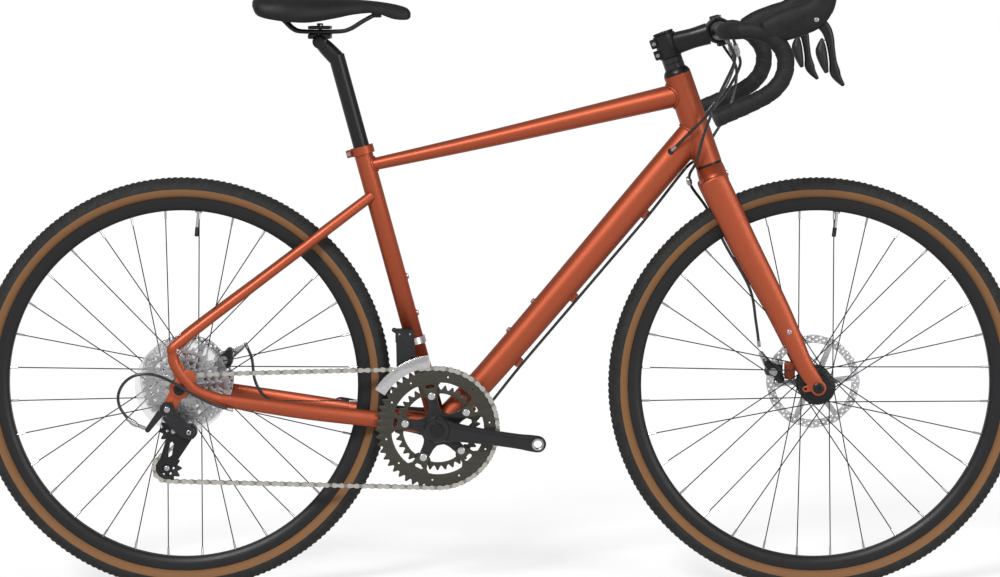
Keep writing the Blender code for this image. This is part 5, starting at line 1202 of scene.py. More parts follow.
def link_outline(waist):
    """A figure-of-eight chain plate about the origin, its pins half a pitch either side."""
    half, end = CHAIN_PITCH / 2.0, 0.0041
    outline = []
    for i in range(9):
        t = math.radians(-112.0 + 28.0 * i)
        outline.append((half + end * math.cos(t), end * math.sin(t)))
    outline.append((0.0, waist))
    for i in range(9):
        t = math.radians(68.0 + 28.0 * i)
        outline.append((-half + end * math.cos(t), end * math.sin(t)))
    outline.append((0.0, -waist))
    return outline


def slab(outline, low, high):
    """A plain flat plate from an outline that its own middle can see."""
    edge = 0.00015
    rings = []
    for y, share in (
        (low, 1.0 - edge * 100), (low + edge, 1.0), (high - edge, 1.0), (high, 1.0 - edge * 100)
    ):
        rings.append([Vector((x * share, y, z * share)) for x, z in outline])
    return loft(rings)


def chain():
    half = CHAIN_PITCH / 2.0
    outer = [slab(link_outline(0.0024), y, y + 0.001) for y in (-0.0033, 0.0023)]
    for x in (-half, half):
        outer.append(rod(Vector((x, -0.0036, 0.0)), Vector((x, 0.0036, 0.0)), 0.0018, 10, 0.0002))
    inner = [slab(link_outline(0.0026), y, y + 0.001) for y in (-0.0022, 0.0012)]
    rollers = [
        rod(Vector((x, -0.0013, 0.0)), Vector((x, 0.0013, 0.0)), 0.0038, 12, 0.0002) for x in (-half, half)
    ]
    places = [[], []]
    for i, start in enumerate(PINS):
        end = PINS[(i + 1) % len(PINS)]
        along = (end - start).normalized()
        turn = math.atan2(along.z, along.x)
        slew = math.asin(along.y)
        places[i % 2].append((start.lerp(end, 0.5), (0.0, -turn, slew)))
    links = [copied("outer_links", together(*outer), places[0], CHAIN_STEEL, None)]
    links.append(copied("inner_links", together(*inner), places[1], ROLLER_STEEL, None))
    links.append(copied("rollers", together(*rollers), places[1], ROLLER_STEEL, None))
    joined("chain_links", links, "frame", ["chain"])


def cassette():
    cogs = []
    for i, teeth in enumerate(COG_TEETH):
        y = DRIVE_Y + i * 0.0048
        outline = toothed(REAR_AXLE, teeth, 0.0004)
        if i == 0:
            outline = turned_outline(outline, REAR_AXLE, pin_phase(REAR_AXLE, chain_wheels()[3][1]))
        holes = [circle(REAR_AXLE, 0.0165, 40)]
        if teeth > 20:
            pitch = CHAIN_PITCH / (2.0 * math.sin(math.pi / teeth))
            for k in range(6):
                start = math.radians(60.0 * k + 8.0 * i)
                holes.append(
                    in_window(REAR_AXLE, 0.0235, pitch - 0.0095, start, start + math.radians(34.0))
                )
        cogs.append(plate(outline, y - 0.0009, y + 0.0009, holes, edge=0.0002))
    piece("cassette_cogs", together(*cogs), COG_STEEL, "cassette_body", ["cassette"], sharp=30.0)
    core = [(-0.0208, 0.0102), (-0.0208, 0.0174), (-0.06, 0.0174), (-0.0614, 0.0168), (-0.0614, 0.0102)]
    piece("freehub_body", ring_lathe(REAR_AXLE, core, 48), DARK_GREY, "cassette_body")


def ring_bolt_places():
    turns = [SPIDER_TURN + 2.0 * math.pi * i / 5 for i in range(5)]
    return [Vector((x, 0.0, z)) for x, z in (polar(BOTTOM_BRACKET, 0.055, t) for t in turns)]


def ring_hole(opening):
    hole = []
    for i in range(5):
        turn = SPIDER_TURN + 2.0 * math.pi * i / 5
        for offset, radius in ((-14.5, opening), (-11.0, opening - 0.006), (-9.5, 0.053), (-6.0, 0.0475)):
            hole.append(polar(BOTTOM_BRACKET, radius, turn + math.radians(offset)))
        for offset, radius in ((6.0, 0.0475), (9.5, 0.053), (11.0, opening - 0.006), (14.5, opening)):
            hole.append(polar(BOTTOM_BRACKET, radius, turn + math.radians(offset)))
        for offset in range(20, 55, 5):
            hole.append(polar(BOTTOM_BRACKET, opening + 0.0006, turn + math.radians(offset)))
    return hole


def chainrings():
    bolts = ring_bolt_places()
    bolt_holes = [circle(place, 0.0042, 20) for place in bolts]
    outline = turned_outline(
        toothed(BOTTOM_BRACKET, RING_TEETH), BOTTOM_BRACKET, pin_phase(BOTTOM_BRACKET, chain_wheels()[0][1])
    )
    holes = [ring_hole(0.0775), *bolt_holes]
    for i in range(5):
        turn = SPIDER_TURN + 2.0 * math.pi * i / 5
        places = [
            Vector((*polar(BOTTOM_BRACKET, 0.0715, turn + math.radians(a)), 0.0)) for a in (-3.2, 3.2)
        ]
        holes.append(wrapped(*[(Vector((p.x, 0.0, p.y)), 0.003) for p in places]))
        for a in (20.0, 50.0):
            x, z = polar(BOTTOM_BRACKET, 0.088, turn + math.radians(a))
            holes.append(circle(Vector((x, 0.0, z)), 0.0015, 12))
    ring = plate(outline, RING_Y - 0.001, RING_Y + 0.001, holes, edge=0.0003)
    piece("outer_ring", ring, GRAPHITE, "crankset", ["outer_chainring"], sharp=30.0)
    small = plate(
        toothed(BOTTOM_BRACKET, SMALL_RING_TEETH), SMALL_RING_Y - 0.001, SMALL_RING_Y + 0.001,
        [ring_hole(0.058), *bolt_holes],
    )
    piece("inner_ring", small, GRAPHITE, "crankset", ["inner_chainring"], sharp=30.0)
    heads = []
    for place in bolts:
        heads.append(hex_bolt(place + Y * (RING_Y - 0.001), -Y, 0.006, 0.0017, 0.5))
        heads.append(rod(place + Y * (RING_Y - 0.0008), place + Y * (SMALL_RING_Y + 0.0026), 0.004, 20))
    piece("ring_bolts", together(*heads), SILVER, "crankset")


def spider():
    outline = []
    for i in range(5):
        turn = SPIDER_TURN + 2.0 * math.pi * i / 5
        for offset, radius in (
            (-36.0, 0.029), (-24.0, 0.03), (-15.0, 0.037), (-9.5, 0.052), (-8.0, 0.0585)
        ):
            outline.append(polar(BOTTOM_BRACKET, radius, turn + math.radians(offset)))
        outline.append(polar(BOTTOM_BRACKET, 0.0622, turn - math.radians(4.0)))
        outline.append(polar(BOTTOM_BRACKET, 0.0622, turn + math.radians(4.0)))
        for offset, radius in ((8.0, 0.0585), (9.5, 0.052), (15.0, 0.037), (24.0, 0.03)):
            outline.append(polar(BOTTOM_BRACKET, radius, turn + math.radians(offset)))
    holes = [circle(place, 0.0042, 16) for place in ring_bolt_places()]
    return plate(outline, RING_Y + 0.0013, SMALL_RING_Y - 0.0013, holes, edge=0.0006)


def cranks():
    for name, side in (("right", -1), ("left", 1)):
        turn = CRANK_TURN if side < 0 else CRANK_TURN + math.pi
        ahead = Vector((math.cos(turn), 0.0, math.sin(turn)))
        eye = BOTTOM_BRACKET + ahead * 0.17
        y = 0.06735
        rows = []
        for along, wide, high in (
            (0.0, 0.00715, 0.0185), (0.018, 0.00715, 0.018), (0.042, 0.007, 0.015),
            (0.09, 0.0068, 0.0128),
            (0.135, 0.007, 0.0126), (0.156, 0.00715, 0.0138), (0.17, 0.00715, 0.0142),
        ):
            place = BOTTOM_BRACKET + ahead * along
            rows.append((place.x, y, place.z, wide, high))
        arm = limb(rows, 40, power=3.2, steps=6, round_end=0.0142)
        boss = [(0.04, 0.0095), (0.04, 0.019), (0.042, 0.0212), (0.058, 0.0215), (0.074, 0.0215)]
        boss += [(0.0762, 0.02), (0.0765, 0.0185), (0.0765, 0.0095)]
        arm_piece = piece(f"{name}_crank_arm", sided(arm, side), BLACK_GLOSS, "crankset", [f"{name}_crank"])
        carved(
            arm_piece, rod(eye - Y * 0.1, eye + Y * 0.1, 0.0072, 40, 0.0001),
            rod(BOTTOM_BRACKET - Y * 0.1, BOTTOM_BRACKET + Y * 0.1, 0.012, 40),
        )
        boss_rows = [(side * along, radius) for along, radius in boss]
        piece(f"{name}_crank_boss", ring_lathe(BOTTOM_BRACKET, boss_rows, 64), BLACK_GLOSS, "crankset")
        face = [
            (side * along, r)
            for along, r in (
                (0.0672, 0.0073), (0.0742, 0.0073), (0.0746, 0.008), (0.0747, 0.0098), (0.0742, 0.0102),
                (0.0672, 0.0102),
            )
        ]
        piece(f"{name}_pedal_eye", ring_lathe(eye, face, 40), BOLT_STEEL, "crankset")
    piece("spider_arms", spider(), BLACK_GLOSS, "crankset")
    rows = [
        (0.0767, 0.0), (0.0767, 0.0112), (0.0775, 0.0118), (0.0795, 0.0116), (0.0808, 0.0102), (0.0809, 0.0)
    ]
    covers = [lathe(BOTTOM_BRACKET, [(side * a, max(r, 0.0001)) for a, r in rows], 48) for side in (-1, 1)]
    shaft = lathe(BOTTOM_BRACKET, [(-0.077, 0.0085), (0.077, 0.0085)], 32)
    piece("crank_bolt_covers", together(*covers, shaft), BLACK_METAL, "crankset", ["crank_spindle"])


def pulley(name, centre, body, node):
    outline = turned_outline(
        toothed(centre, PULLEY_TEETH, 0.0006), centre, pin_phase(centre, chain_wheels()[1][1])
    )
    holes = [circle(centre, 0.0034, 20)]
    holes += [circle(Vector((x, 0.0, z)), 0.0022, 12) for x, z in circle(centre, 0.0105, 6)]
    wheel = plate(outline, DRIVE_Y - 0.0011, DRIVE_Y + 0.0011, holes, edge=0.0003)
    piece(f"{name}_teeth", wheel, RESIN, body, [node], sharp=30.0)
    hub_rows = [
        (DRIVE_Y - 0.0026, 0.0027), (DRIVE_Y - 0.0026, 0.0048), (DRIVE_Y + 0.0026, 0.0048),
        (DRIVE_Y + 0.0026, 0.0027),
    ]
    piece(f"{name}_bush", ring_lathe(centre, hub_rows, 24), BOLT_STEEL, body)


def rear_derailleur():
    outer_y = DRIVE_Y - 0.0037 - 0.0015
    low = DRIVE_Y + 0.0037
    foot = TENSION + Vector((-0.012, 0.0, -0.001))
    outer = wrapped(
        (foot, 0.0046), (TENSION + Vector((0.001, 0.0, -0.006)), 0.0046), (TENSION, 0.008),
        (CAGE_PIVOT, 0.0104), (GUIDE, 0.0076),
    )
    inner = wrapped((TENSION, 0.008), (GUIDE, 0.008))
    middle = (TENSION + GUIDE) / 2.0
    window = wrapped(
        (middle + Vector((0.003, 0.0, 0.012)), 0.0034), (middle + Vector((-0.0008, 0.0, -0.012)), 0.003)
    )
    plates = [
        plate(outer, outer_y, outer_y + 0.0015, [window], edge=0.0004),
        plate(inner, low, low + 0.0015, [window], edge=0.0004),
    ]
    piece("cage_plates", together(*plates), BLACK_METAL, "chain_cage", ["derailleur_cage"])
    bolts = []
    for place in (GUIDE, TENSION):
        bolts.append(hex_bolt(place + Y * outer_y, -Y, 0.004, 0.0019, 0.5))
        bolts.append(rod(place + Y * outer_y, place + Y * (low + 0.0012), 0.0024, 16))
    piece("cage_bolts", together(*bolts), BOLT_STEEL, "chain_cage")
    pulley("guide_pulley", GUIDE, "guide_wheel", "guide_pulley")
    pulley("tension_pulley", TENSION, "tension_wheel", "tension_pulley")
    outside = -STAY_Y - 0.0035 - 0.0003
    knuckle = outside - 0.005
    barrel = [(outside, 0.0118), (outside - 0.0008, 0.0125), (knuckle + 0.0008, 0.0125), (knuckle, 0.0115)]
    parts = [lathe(HANGER, barrel, 40)]
    lower = [
        (outer_y - 0.0003, 0.0122), (outer_y - 0.0012, 0.013), (knuckle + 0.0014, 0.013),
        (knuckle + 0.0005, 0.012),
    ]
    parts.append(lathe(CAGE_PIVOT, lower, 40))
    link = wrapped((HANGER, 0.0085), (CAGE_PIVOT, 0.01))
    parts.append(plate(link, knuckle - 0.0035, knuckle + 0.001, edge=0.0012))
    cover = wrapped(
        (HANGER + Vector((-0.0015, 0.0, -0.015)), 0.006),
        (CAGE_PIVOT + Vector((-0.011, 0.0, 0.0)), 0.0078), (CAGE_PIVOT, 0.0112),
    )
    parts.append(plate(cover, knuckle - 0.004, knuckle + 0.003, edge=0.0024))
    rib = wrapped((HANGER.lerp(CAGE_PIVOT, 0.25), 0.0035), (HANGER.lerp(CAGE_PIVOT, 0.75), 0.0045))
    parts.append(plate(rib, knuckle - 0.0045, knuckle - 0.003, edge=0.0006))
    stop_end = HANGER + Vector((-0.033, 0.0, -0.0345))
    stop = wrapped((stop_end, 0.0045), (HANGER + Vector((-0.012, 0.0, -0.007)), 0.006))
    parts.append(plate(stop, knuckle + 0.0003, knuckle + 0.0045, edge=0.001))
    piece("derailleur_body", together(*parts), DARK_GREY, "frame", ["rear_derailleur_linkage"])
    heads = [hex_bolt(HANGER + Y * (knuckle - 0.0035), -Y, 0.0048, 0.0015, 0.5)]
    heads.append(rod(HANGER + Y * (knuckle - 0.003), HANGER + Y * (-STAY_Y + 0.0035), 0.0047, 24))
    heads.append(hex_bolt(CAGE_PIVOT + Y * (knuckle - 0.0032), -Y, 0.004, 0.0014, 0.5))
    piece("derailleur_bolts", together(*heads), BOLT_STEEL, "frame")


def front_derailleur():
    ear = RING_Y + 0.006
    low_y = ear + 0.003
    band = lathe_between(seat_point(0.1417), seat_point(0.1537), 0.0186, 0.0161, 48)
    piece("shifter_band", band, SILVER, "frame", ["front_derailleur_clamp"])
    centre = Vector((-0.16, (low_y - 0.015) / 2, 0.436))
    main = block(centre, 0.015, (-0.015 - low_y) / 2, 0.012, edge=0.003)
    arm = plate(
        wrapped((Vector((-0.16, 0.0, 0.44)), 0.006), (Vector((-0.1773, 0.0, 0.447)), 0.0038)), low_y,
        low_y + 0.004, edge=0.0008,
    )
    piece("shifter_body", together(main, arm), DARK_GREY, "frame")
    pins = []
    for x in (-0.168, -0.15):
        pins.append(rod(Vector((x, ear - 0.003, 0.4405)), Vector((x, low_y + 0.004, 0.4405)), 0.002, 16))
    pins.append(hex_bolt(Vector((-0.17, low_y, 0.432)), -Y, 0.0036, 0.0016, 0.5))
    lug = seat_point(0.1477, -0.02, -0.004)
    pins.append(rod(lug - Y * 0.006, lug + Y * 0.01, 0.0034, 20))
    piece("shifter_pins", together(*pins), BOLT_STEEL, "frame")
    start, end = math.radians(96.5), math.radians(147.5)
    outline = arc(BOTTOM_BRACKET, 0.1235, start, end, 16) + arc(BOTTOM_BRACKET, 0.1045, end, start, 16)
    slot = arc(BOTTOM_BRACKET, 0.1175, start + 0.42, end - 0.12, 8)
    slot += arc(BOTTOM_BRACKET, 0.1105, end - 0.12, start + 0.42, 8)
    cage = [plate(outline, RING_Y - 0.0072, RING_Y - 0.006, edge=0.0003)]
    cage.append(plate(outline, ear, ear + 0.0012, [slot], edge=0.0003))
    for turn in (math.radians(101.0), math.radians(143.0)):
        x, z = polar(BOTTOM_BRACKET, 0.1205, turn)
        along = Vector((math.sin(turn), 0.0, -math.cos(turn)))
        cage.append(block(Vector((x, RING_Y, z)), 0.0045, 0.0066, 0.0015, along, edge=0.0006))
    ears = [(-0.174, 0.4455), (-0.144, 0.4455), polar(BOTTOM_BRACKET, 0.1195, math.radians(108.0))]
    ears.append(polar(BOTTOM_BRACKET, 0.1195, math.radians(125.0)))
    eyes = [circle(Vector((x, 0.0, 0.4405)), 0.0022, 14) for x in (-0.168, -0.15)]
    link = plate(ears, ear + 0.0001, ear + 0.0011, eyes, edge=0.0003)
    piece("shifter_link", link, DARK_GREY, "front_shifter")
    piece("shifter_cage", together(*cage), SILVER, "front_shifter", ["front_derailleur_cage"], sharp=30.0)


# ---------------------------------------------------------------- fork and cockpit

BLADE_ROWS = (
    # x, y, z, half width, half depth
    (0.356, 0.036, 0.7, 0.011, 0.0228),
    (0.3639, 0.037, 0.684, 0.011, 0.0246),
    (0.4106, 0.041, 0.5897, 0.0105, 0.023),
    (0.4688, 0.047, 0.4792, 0.0095, 0.019),
    (0.5072, 0.0525, 0.3971, 0.0075, 0.015),
    (0.52, 0.0545, 0.3728, 0.0046, 0.014),
    (0.53, 0.054, 0.359, 0.0036, 0.013),
)


def fork():
    steerer = lathe_between(head_point(0.41 - 0.0035), head_point(STEM_HIGH - 0.003), 0.0143, 0.012, 48)
    piece("steerer", steerer, COPPER, "steering", ["fork"])
    sizes = (
        (0.3715, 0.033, 0.019), (0.373, 0.04, 0.0225), (0.379, 0.044, 0.0243),
        (0.3935, 0.0425, 0.0241),
        (0.403, 0.033, 0.0235), (0.4085, 0.025, 0.0227), (0.41, 0.0232, 0.022),
    )
    crown = limb([(*head_point(along), wide, deep) for along, wide, deep in sizes], 48, power=2.3, steps=5)
    crown_piece = piece("fork_crown", crown, COPPER, "steering")
    tyre_room = [(-0.023, 0.356), (-0.019, 0.36), (0.0, 0.362), (0.019, 0.36), (0.023, 0.356)]
    carved(crown_piece, lathe(FRONT_AXLE, tyre_room, 96))
    blades = []
    low = 0.0503
    tab_outline = wrapped((FRONT_AXLE, 0.013), (FRONT_AXLE + Vector((-0.01, 0.0, 0.014)), 0.011))
    hole = circle(FRONT_AXLE, 0.0063, 32)
    for side, name in ((1, "left"), (-1, "right")):
        blade = limb(BLADE_ROWS, 36, steps=10, round_end=0.004)
        piece(f"{name}_fork_blade", sided(blade, side), COPPER, "steering")
        tab = plate(tab_outline, low, low + 0.007, [hole], edge=0.0009)
        blades.append(sided(tab, side))
        eye = Vector((0.513, 0.0, 0.3493))
        lug = plate(
            wrapped((eye, 0.0052), (FRONT_AXLE + Vector((-0.008, 0.0, 0.002)), 0.007)), low + 0.001,
            low + 0.0058, [circle(eye, 0.0024, 16)], edge=0.0008,
        )
        blades.append(sided(lug, side))
        boss = Vector((0.4845, side * 0.0575, 0.4455))
        blades.append(rod(boss - Y * side * 0.006, boss, 0.0048, 24))
    lug_low = 0.4655 + 0.0213
    lug = Vector(((lug_low + 0.505) / 2, 0.054, 0.368))
    blades.append(block(lug, (0.505 - lug_low) / 2, 0.0045, 0.015, edge=0.0014))
    piece("fork_tabs", together(*blades), COPPER, "steering")
    bolts = [
        hex_bolt(Vector((0.4845, side * 0.0573, 0.4455)), Y * side, 0.004, 0.0022) for side in (1, -1)
    ]
    bolts.append(hex_bolt(head_point(0.388, 0.0236), HEAD_AHEAD, 0.0048, 0.0026))
    piece("fork_bolts", together(*bolts), BOLT_STEEL, "steering")


def headset():
    low = [(0.4103, 0.0222), (0.4106, 0.0226), (0.413, 0.0226), (0.4132, 0.02), (0.42, 0.02)]
    piece("lower_race", collar(low, 0.0146), BLACK_METAL, "steering", ["headset_lower_bearing"])
    high = [(HEAD_HIGH - 0.007, 0.0202), (HEAD_HIGH + 0.0003, 0.0202), (HEAD_HIGH + 0.0003, 0.0228)]
    high += [
        (HEAD_HIGH + 0.0014, 0.023), (HEAD_HIGH + 0.006, 0.0212), (HEAD_HIGH + 0.0096, 0.0186),
        (SPACERS_LOW, 0.0182),
    ]
    piece("upper_cover", collar(high, 0.0146), BLACK_METAL, "steering", ["headset_upper_bearing"])
    spacers = []
    for i in range(2):
        start = SPACERS_LOW + i * 0.0103
        rows = [
            (start, 0.0168), (start + 0.0006, 0.0173), (start + 0.0094, 0.0173), (start + 0.01, 0.0168)
        ]
        spacers.append(collar(rows, 0.0146))
    piece("spacers", together(*spacers), BLACK_GLOSS, "steering")
    cap = rod(head_point(STEM_HIGH + 0.0003), head_point(STEM_HIGH + 0.0046), 0.0173, 48, 0.001)
    piece("top_cap", cap, BLACK_METAL, "steering", ["steerer_cap"])
    piece(
        "top_cap_bolt", hex_bolt(head_point(STEM_HIGH + 0.003), HEAD_UP, 0.0046, 0.0024, 0.5), BOLT_STEEL,
        "steering",
    )


def clamp_outline(start, end, inner, outer):
    low = STEM_RISE + math.radians(start)
    high = STEM_RISE + math.radians(end)
    return arc(BAR_CLAMP, outer, low, high, 28) + arc(BAR_CLAMP, inner, high, low, 28)


def stem():
    outer = 0.0191
    middle = head_point(STEM_MIDDLE)
    rows = []
    for along, wide, high in (
        (0.01, 0.015, 0.0186), (0.024, 0.0146, 0.0182), (0.046, 0.015, 0.017), (0.0708, 0.0172, 0.0182)
    ):
        rows.append((*(middle + STEM_AHEAD * along), wide, high))
    clamp = lathe_between(head_point(STEM_LOW), head_point(STEM_HIGH), outer, 0.0146, 56)
    piece("stem_clamp", clamp, BLACK_METAL, "steering", ["stem"])
    body = piece("stem_body", limb(rows, 44, power=2.6, steps=6), BLACK_METAL, "steering")
    steerer_room = rod(head_point(STEM_LOW - 0.01), head_point(STEM_HIGH + 0.01), 0.015, 48)
    bar_room = rod(BAR_CLAMP - Y * 0.06, BAR_CLAMP + Y * 0.06, 0.0164, 56)
    carved(body, steerer_room, bar_room)
    jaw = plate(clamp_outline(93.0, 267.0, 0.0162, 0.0219), -0.021, 0.021, edge=0.0012)
    piece("stem_jaw", jaw, BLACK_METAL, "steering")
    lugs = []
    for up in (-0.01, 0.01):
        place = head_point(STEM_MIDDLE + up, -outer - 0.0008)
        lugs.append(block(place, 0.0062, 0.011, 0.0078, HEAD_AHEAD, edge=0.002))
    lug = piece("stem_lugs", together(*lugs), BLACK_METAL, "steering")
    carved(
        lug, block(head_point(STEM_MIDDLE, -outer - 0.002), 0.009, 0.0008, 0.022, HEAD_AHEAD, edge=0.0002)
    )
    bolts = []
    for up, side in ((-0.01, -1.0), (0.01, -1.0)):
        place = head_point(STEM_MIDDLE + up, -outer - 0.0018)
        bolts.append(hex_bolt(place + Y * side * 0.0108, Y * side, 0.0036, 0.004))
        bolts.append(rod(place - Y * side * 0.0108, place - Y * side * 0.012, 0.003, 16))
    for up in (-1.0, 1.0):
        for side in (-1.0, 1.0):
            foot = BAR_CLAMP + STEM_ACROSS * up * 0.0214 + Y * side * 0.015
            bolts.append(hex_bolt(foot + STEM_AHEAD * 0.0072, STEM_AHEAD, 0.0035, 0.0033))
    piece("stem_bolts", together(*bolts), BOLT_STEEL, "steering")
    face = plate(clamp_outline(-87.0, 87.0, 0.0162, 0.0219), -0.021, 0.021, edge=0.0012)
    made = piece("faceplate", face, BLACK_METAL, "steering", ["stem_faceplate"])
    window = block(BAR_CLAMP + STEM_AHEAD * 0.02, 0.008, 0.0085, 0.006, STEM_AHEAD, edge=0.002)
    carved(made, window)
    ears = []
    for up in (-1.0, 1.0):
        for side in (-1.0, 1.0):
            foot = BAR_CLAMP + STEM_ACROSS * up * 0.021 + Y * side * 0.015
            ears.append(rod(foot - STEM_AHEAD * 0.0078, foot + STEM_AHEAD * 0.0076, 0.005, 24, 0.0012))
    piece("faceplate_ears", together(*ears), BLACK_METAL, "steering")


BAR_ROWS = (
    # y, x, z: from the clamp to the end of the drop, on the left
    (0.0, 0.366, 0.9474),
    (0.03, 0.366, 0.9474),
    (0.06, 0.366, 0.9474),
    (0.145, 0.366, 0.9478),
    (0.178, 0.369, 0.9484),
    (0.198, 0.385, 0.9492),
    (0.206, 0.4114, 0.949),
    (0.2075, 0.437, 0.9395),
    (0.2085, 0.456, 0.917),
    (0.21, 0.4605, 0.8944),
    (0.212, 0.454, 0.8704),
    (0.215, 0.4352, 0.8496),
    (0.218, 0.403, 0.832),
    (0.221, 0.3628, 0.8144),
    (0.222, 0.3483, 0.808),
)


def bar_route(first=0, gap=0.002):
    shift = BAR_CLAMP - Vector((BAR_ROWS[0][1], 0.0, BAR_ROWS[0][2]))
    return curve_through([Vector((x, y, z)) + shift for y, x, z in BAR_ROWS[first:]], gap)


def handlebar():
    left = bar_route(0, 0.0045)
    whole = [Vector((p.x, -p.y, p.z)) for p in left[:0:-1]] + left
    axes = carried_axes(whole, Z)
    rings = []
    for place, (across, up) in zip(whole, axes):
        share = min(1.0, max(0.0, (abs(place.y) - 0.036) / 0.023))
        radius = 0.0159 - 0.004 * share * share * (3.0 - 2.0 * share)
        rings.append(section(place, across, up, radius, radius, 32))
    piece("bar", loft(rings), BLACK_METAL, "steering", ["handlebar"])


def bar_tape(name, side):
    """Wound tape: each turn overlaps the last, so its edge stands a little proud."""
    route = bar_route(3, 0.0014)
    axes = carried_axes(route, Z)
    rings = []
    pitch, walked = 0.019, 0.0
    for i, (place, (across, up)) in enumerate(zip(route, axes)):
        if i:
            walked += (place - route[i - 1]).length
        ring = []
        for k in range(36):
            turn = 2.0 * math.pi * k / 36
            phase = (walked / pitch + k / 36.0) % 1.0
            lift = 0.0012 * min(1.0, phase * 9.0) * (1.0 - 0.75 * phase)
            start = min(1.0, walked / 0.0015)
            radius = 0.0121 + start * (0.0013 + lift)
            ring.append(place + across * radius * math.cos(turn) + up * radius * math.sin(turn))
        rings.append(ring)
    piece(f"{name}_wrap", sided(loft(rings), side), TAPE, "steering", [name], sharp=25.0)
    onward = (route[-1] - route[-2]).normalized()
    end = route[-1]
    stations = [
        (-0.002, 0.0125), (0.0004, 0.0142), (0.002, 0.0144), (0.0034, 0.0138), (0.0045, 0.011),
        (0.0047, 0.002),
    ]
    across, up = square_to(onward)
    plug = loft([section(end + onward * h, across, up, r, r, 40) for h, r in stations])
    piece(f"{name}_plug", sided(plug, side), RESIN, "steering")
    band_at = next(i for i, place in enumerate(route) if place.y > 0.1462)
    ring = [
        section(route[band_at + s], *axes[band_at + s], r, r, 36)
        for s, r in ((-1, 0.0142), (0, 0.0146), (6, 0.0146), (7, 0.0142))
    ]
    piece(f"{name}_band", sided(loft(ring), side), RESIN, "steering")


HOOD_ROWS = (
    # x, z, half width, half depth
    (0.428, 0.948, 0.015, 0.0195),
    (0.45, 0.9555, 0.0165, 0.0245),
    (0.478, 0.965, 0.0165, 0.0258),
    (0.502, 0.974, 0.0165, 0.025),
    (0.518, 0.99, 0.016, 0.0215),
    (0.527, 1.01, 0.0145, 0.0165),
    (0.5285, 1.025, 0.0118, 0.0122),
    (0.5275, 1.033, 0.0092, 0.0094),
)
LEVER_ROWS = (
    (0.5082, 0.9672, 0.0055, 0.0085),
    (0.522, 0.957, 0.0057, 0.009),
    (0.53, 0.942, 0.006, 0.008),
    (0.5345, 0.92, 0.007, 0.0062),
    (0.5375, 0.9, 0.0074, 0.0062),
    (0.5405, 0.884, 0.0074, 0.0086),
    (0.545, 0.874, 0.0066, 0.0066),
    (0.5535, 0.863, 0.005, 0.0034),
)
PADDLE_ROWS = (
    (0.5192, 0.936, 0.004, 0.0024),
    (0.5185, 0.926, 0.007, 0.007),
    (0.5183, 0.915, 0.0098, 0.0092),
    (0.5225, 0.898, 0.0096, 0.0072),
    (0.527, 0.883, 0.007, 0.0036),
)


def at_hood(rows):
    return [(x, HOOD_Y, z, wide, deep) for x, z, wide, deep in rows]


def controls():
    for side, name in ((1, "left"), (-1, "right")):
        shape = limb(at_hood(HOOD_ROWS), 44, power=2.5, steps=8, round_end=0.0066)
        hood = piece(f"{name}_hood_cover", sided(shape, side), HOOD_RUBBER, "steering", [f"{name}_hood"])
        slot = block(LEVER_PIVOT + Vector((0.0165, 0.0, -0.012)), 0.029, 0.0066, 0.023, edge=0.0012)
        carved(hood, sided(slot, side))
        ribs = []
        for i in range(7):
            place = Vector((0.45 + 0.006 * i, HOOD_Y + 0.0158, 0.953 + 0.0022 * i))
            ribs.append(block(place, 0.0012, 0.0012, 0.0085, Vector((1.0, 0.0, -0.35)), edge=0.0006))
        piece(f"{name}_hood_ribs", sided(together(*ribs), side), HOOD_RUBBER, "steering")
        seam = plate(
            wrapped((Vector((0.5082, 0.0, 0.9672)), 0.0036), (Vector((0.5092, 0.0, 0.9672)), 0.0036)),
            HOOD_Y - 0.0172, HOOD_Y + 0.0172, edge=0.0006,
        )
        piece(f"{name}_lever_pin", sided(seam, side), BOLT_STEEL, "steering")
        blade = limb(at_hood(LEVER_ROWS), 32, power=2.6, steps=8, round_end=0.0028)
        piece(
            f"{name}_lever_blade", sided(blade, side), BLACK_METAL, f"{name}_lever", [f"{name}_brake_lever"]
        )
        hinge = rod(Vector((0.5185, HOOD_Y, 0.933)), Vector((0.5262, HOOD_Y, 0.935)), 0.0013, 16)
        piece(f"{name}_paddle_hinge", sided(hinge, side), BOLT_STEEL, f"{name}_lever")
        paddle = limb(at_hood(PADDLE_ROWS), 32, power=2.4, steps=8, round_end=0.0017)
        piece(
            f"{name}_paddle_blade", sided(paddle, side), RESIN, f"{name}_paddle", [f"{name}_shift_paddle"]
        )


# ---------------------------------------------------------------- brakes


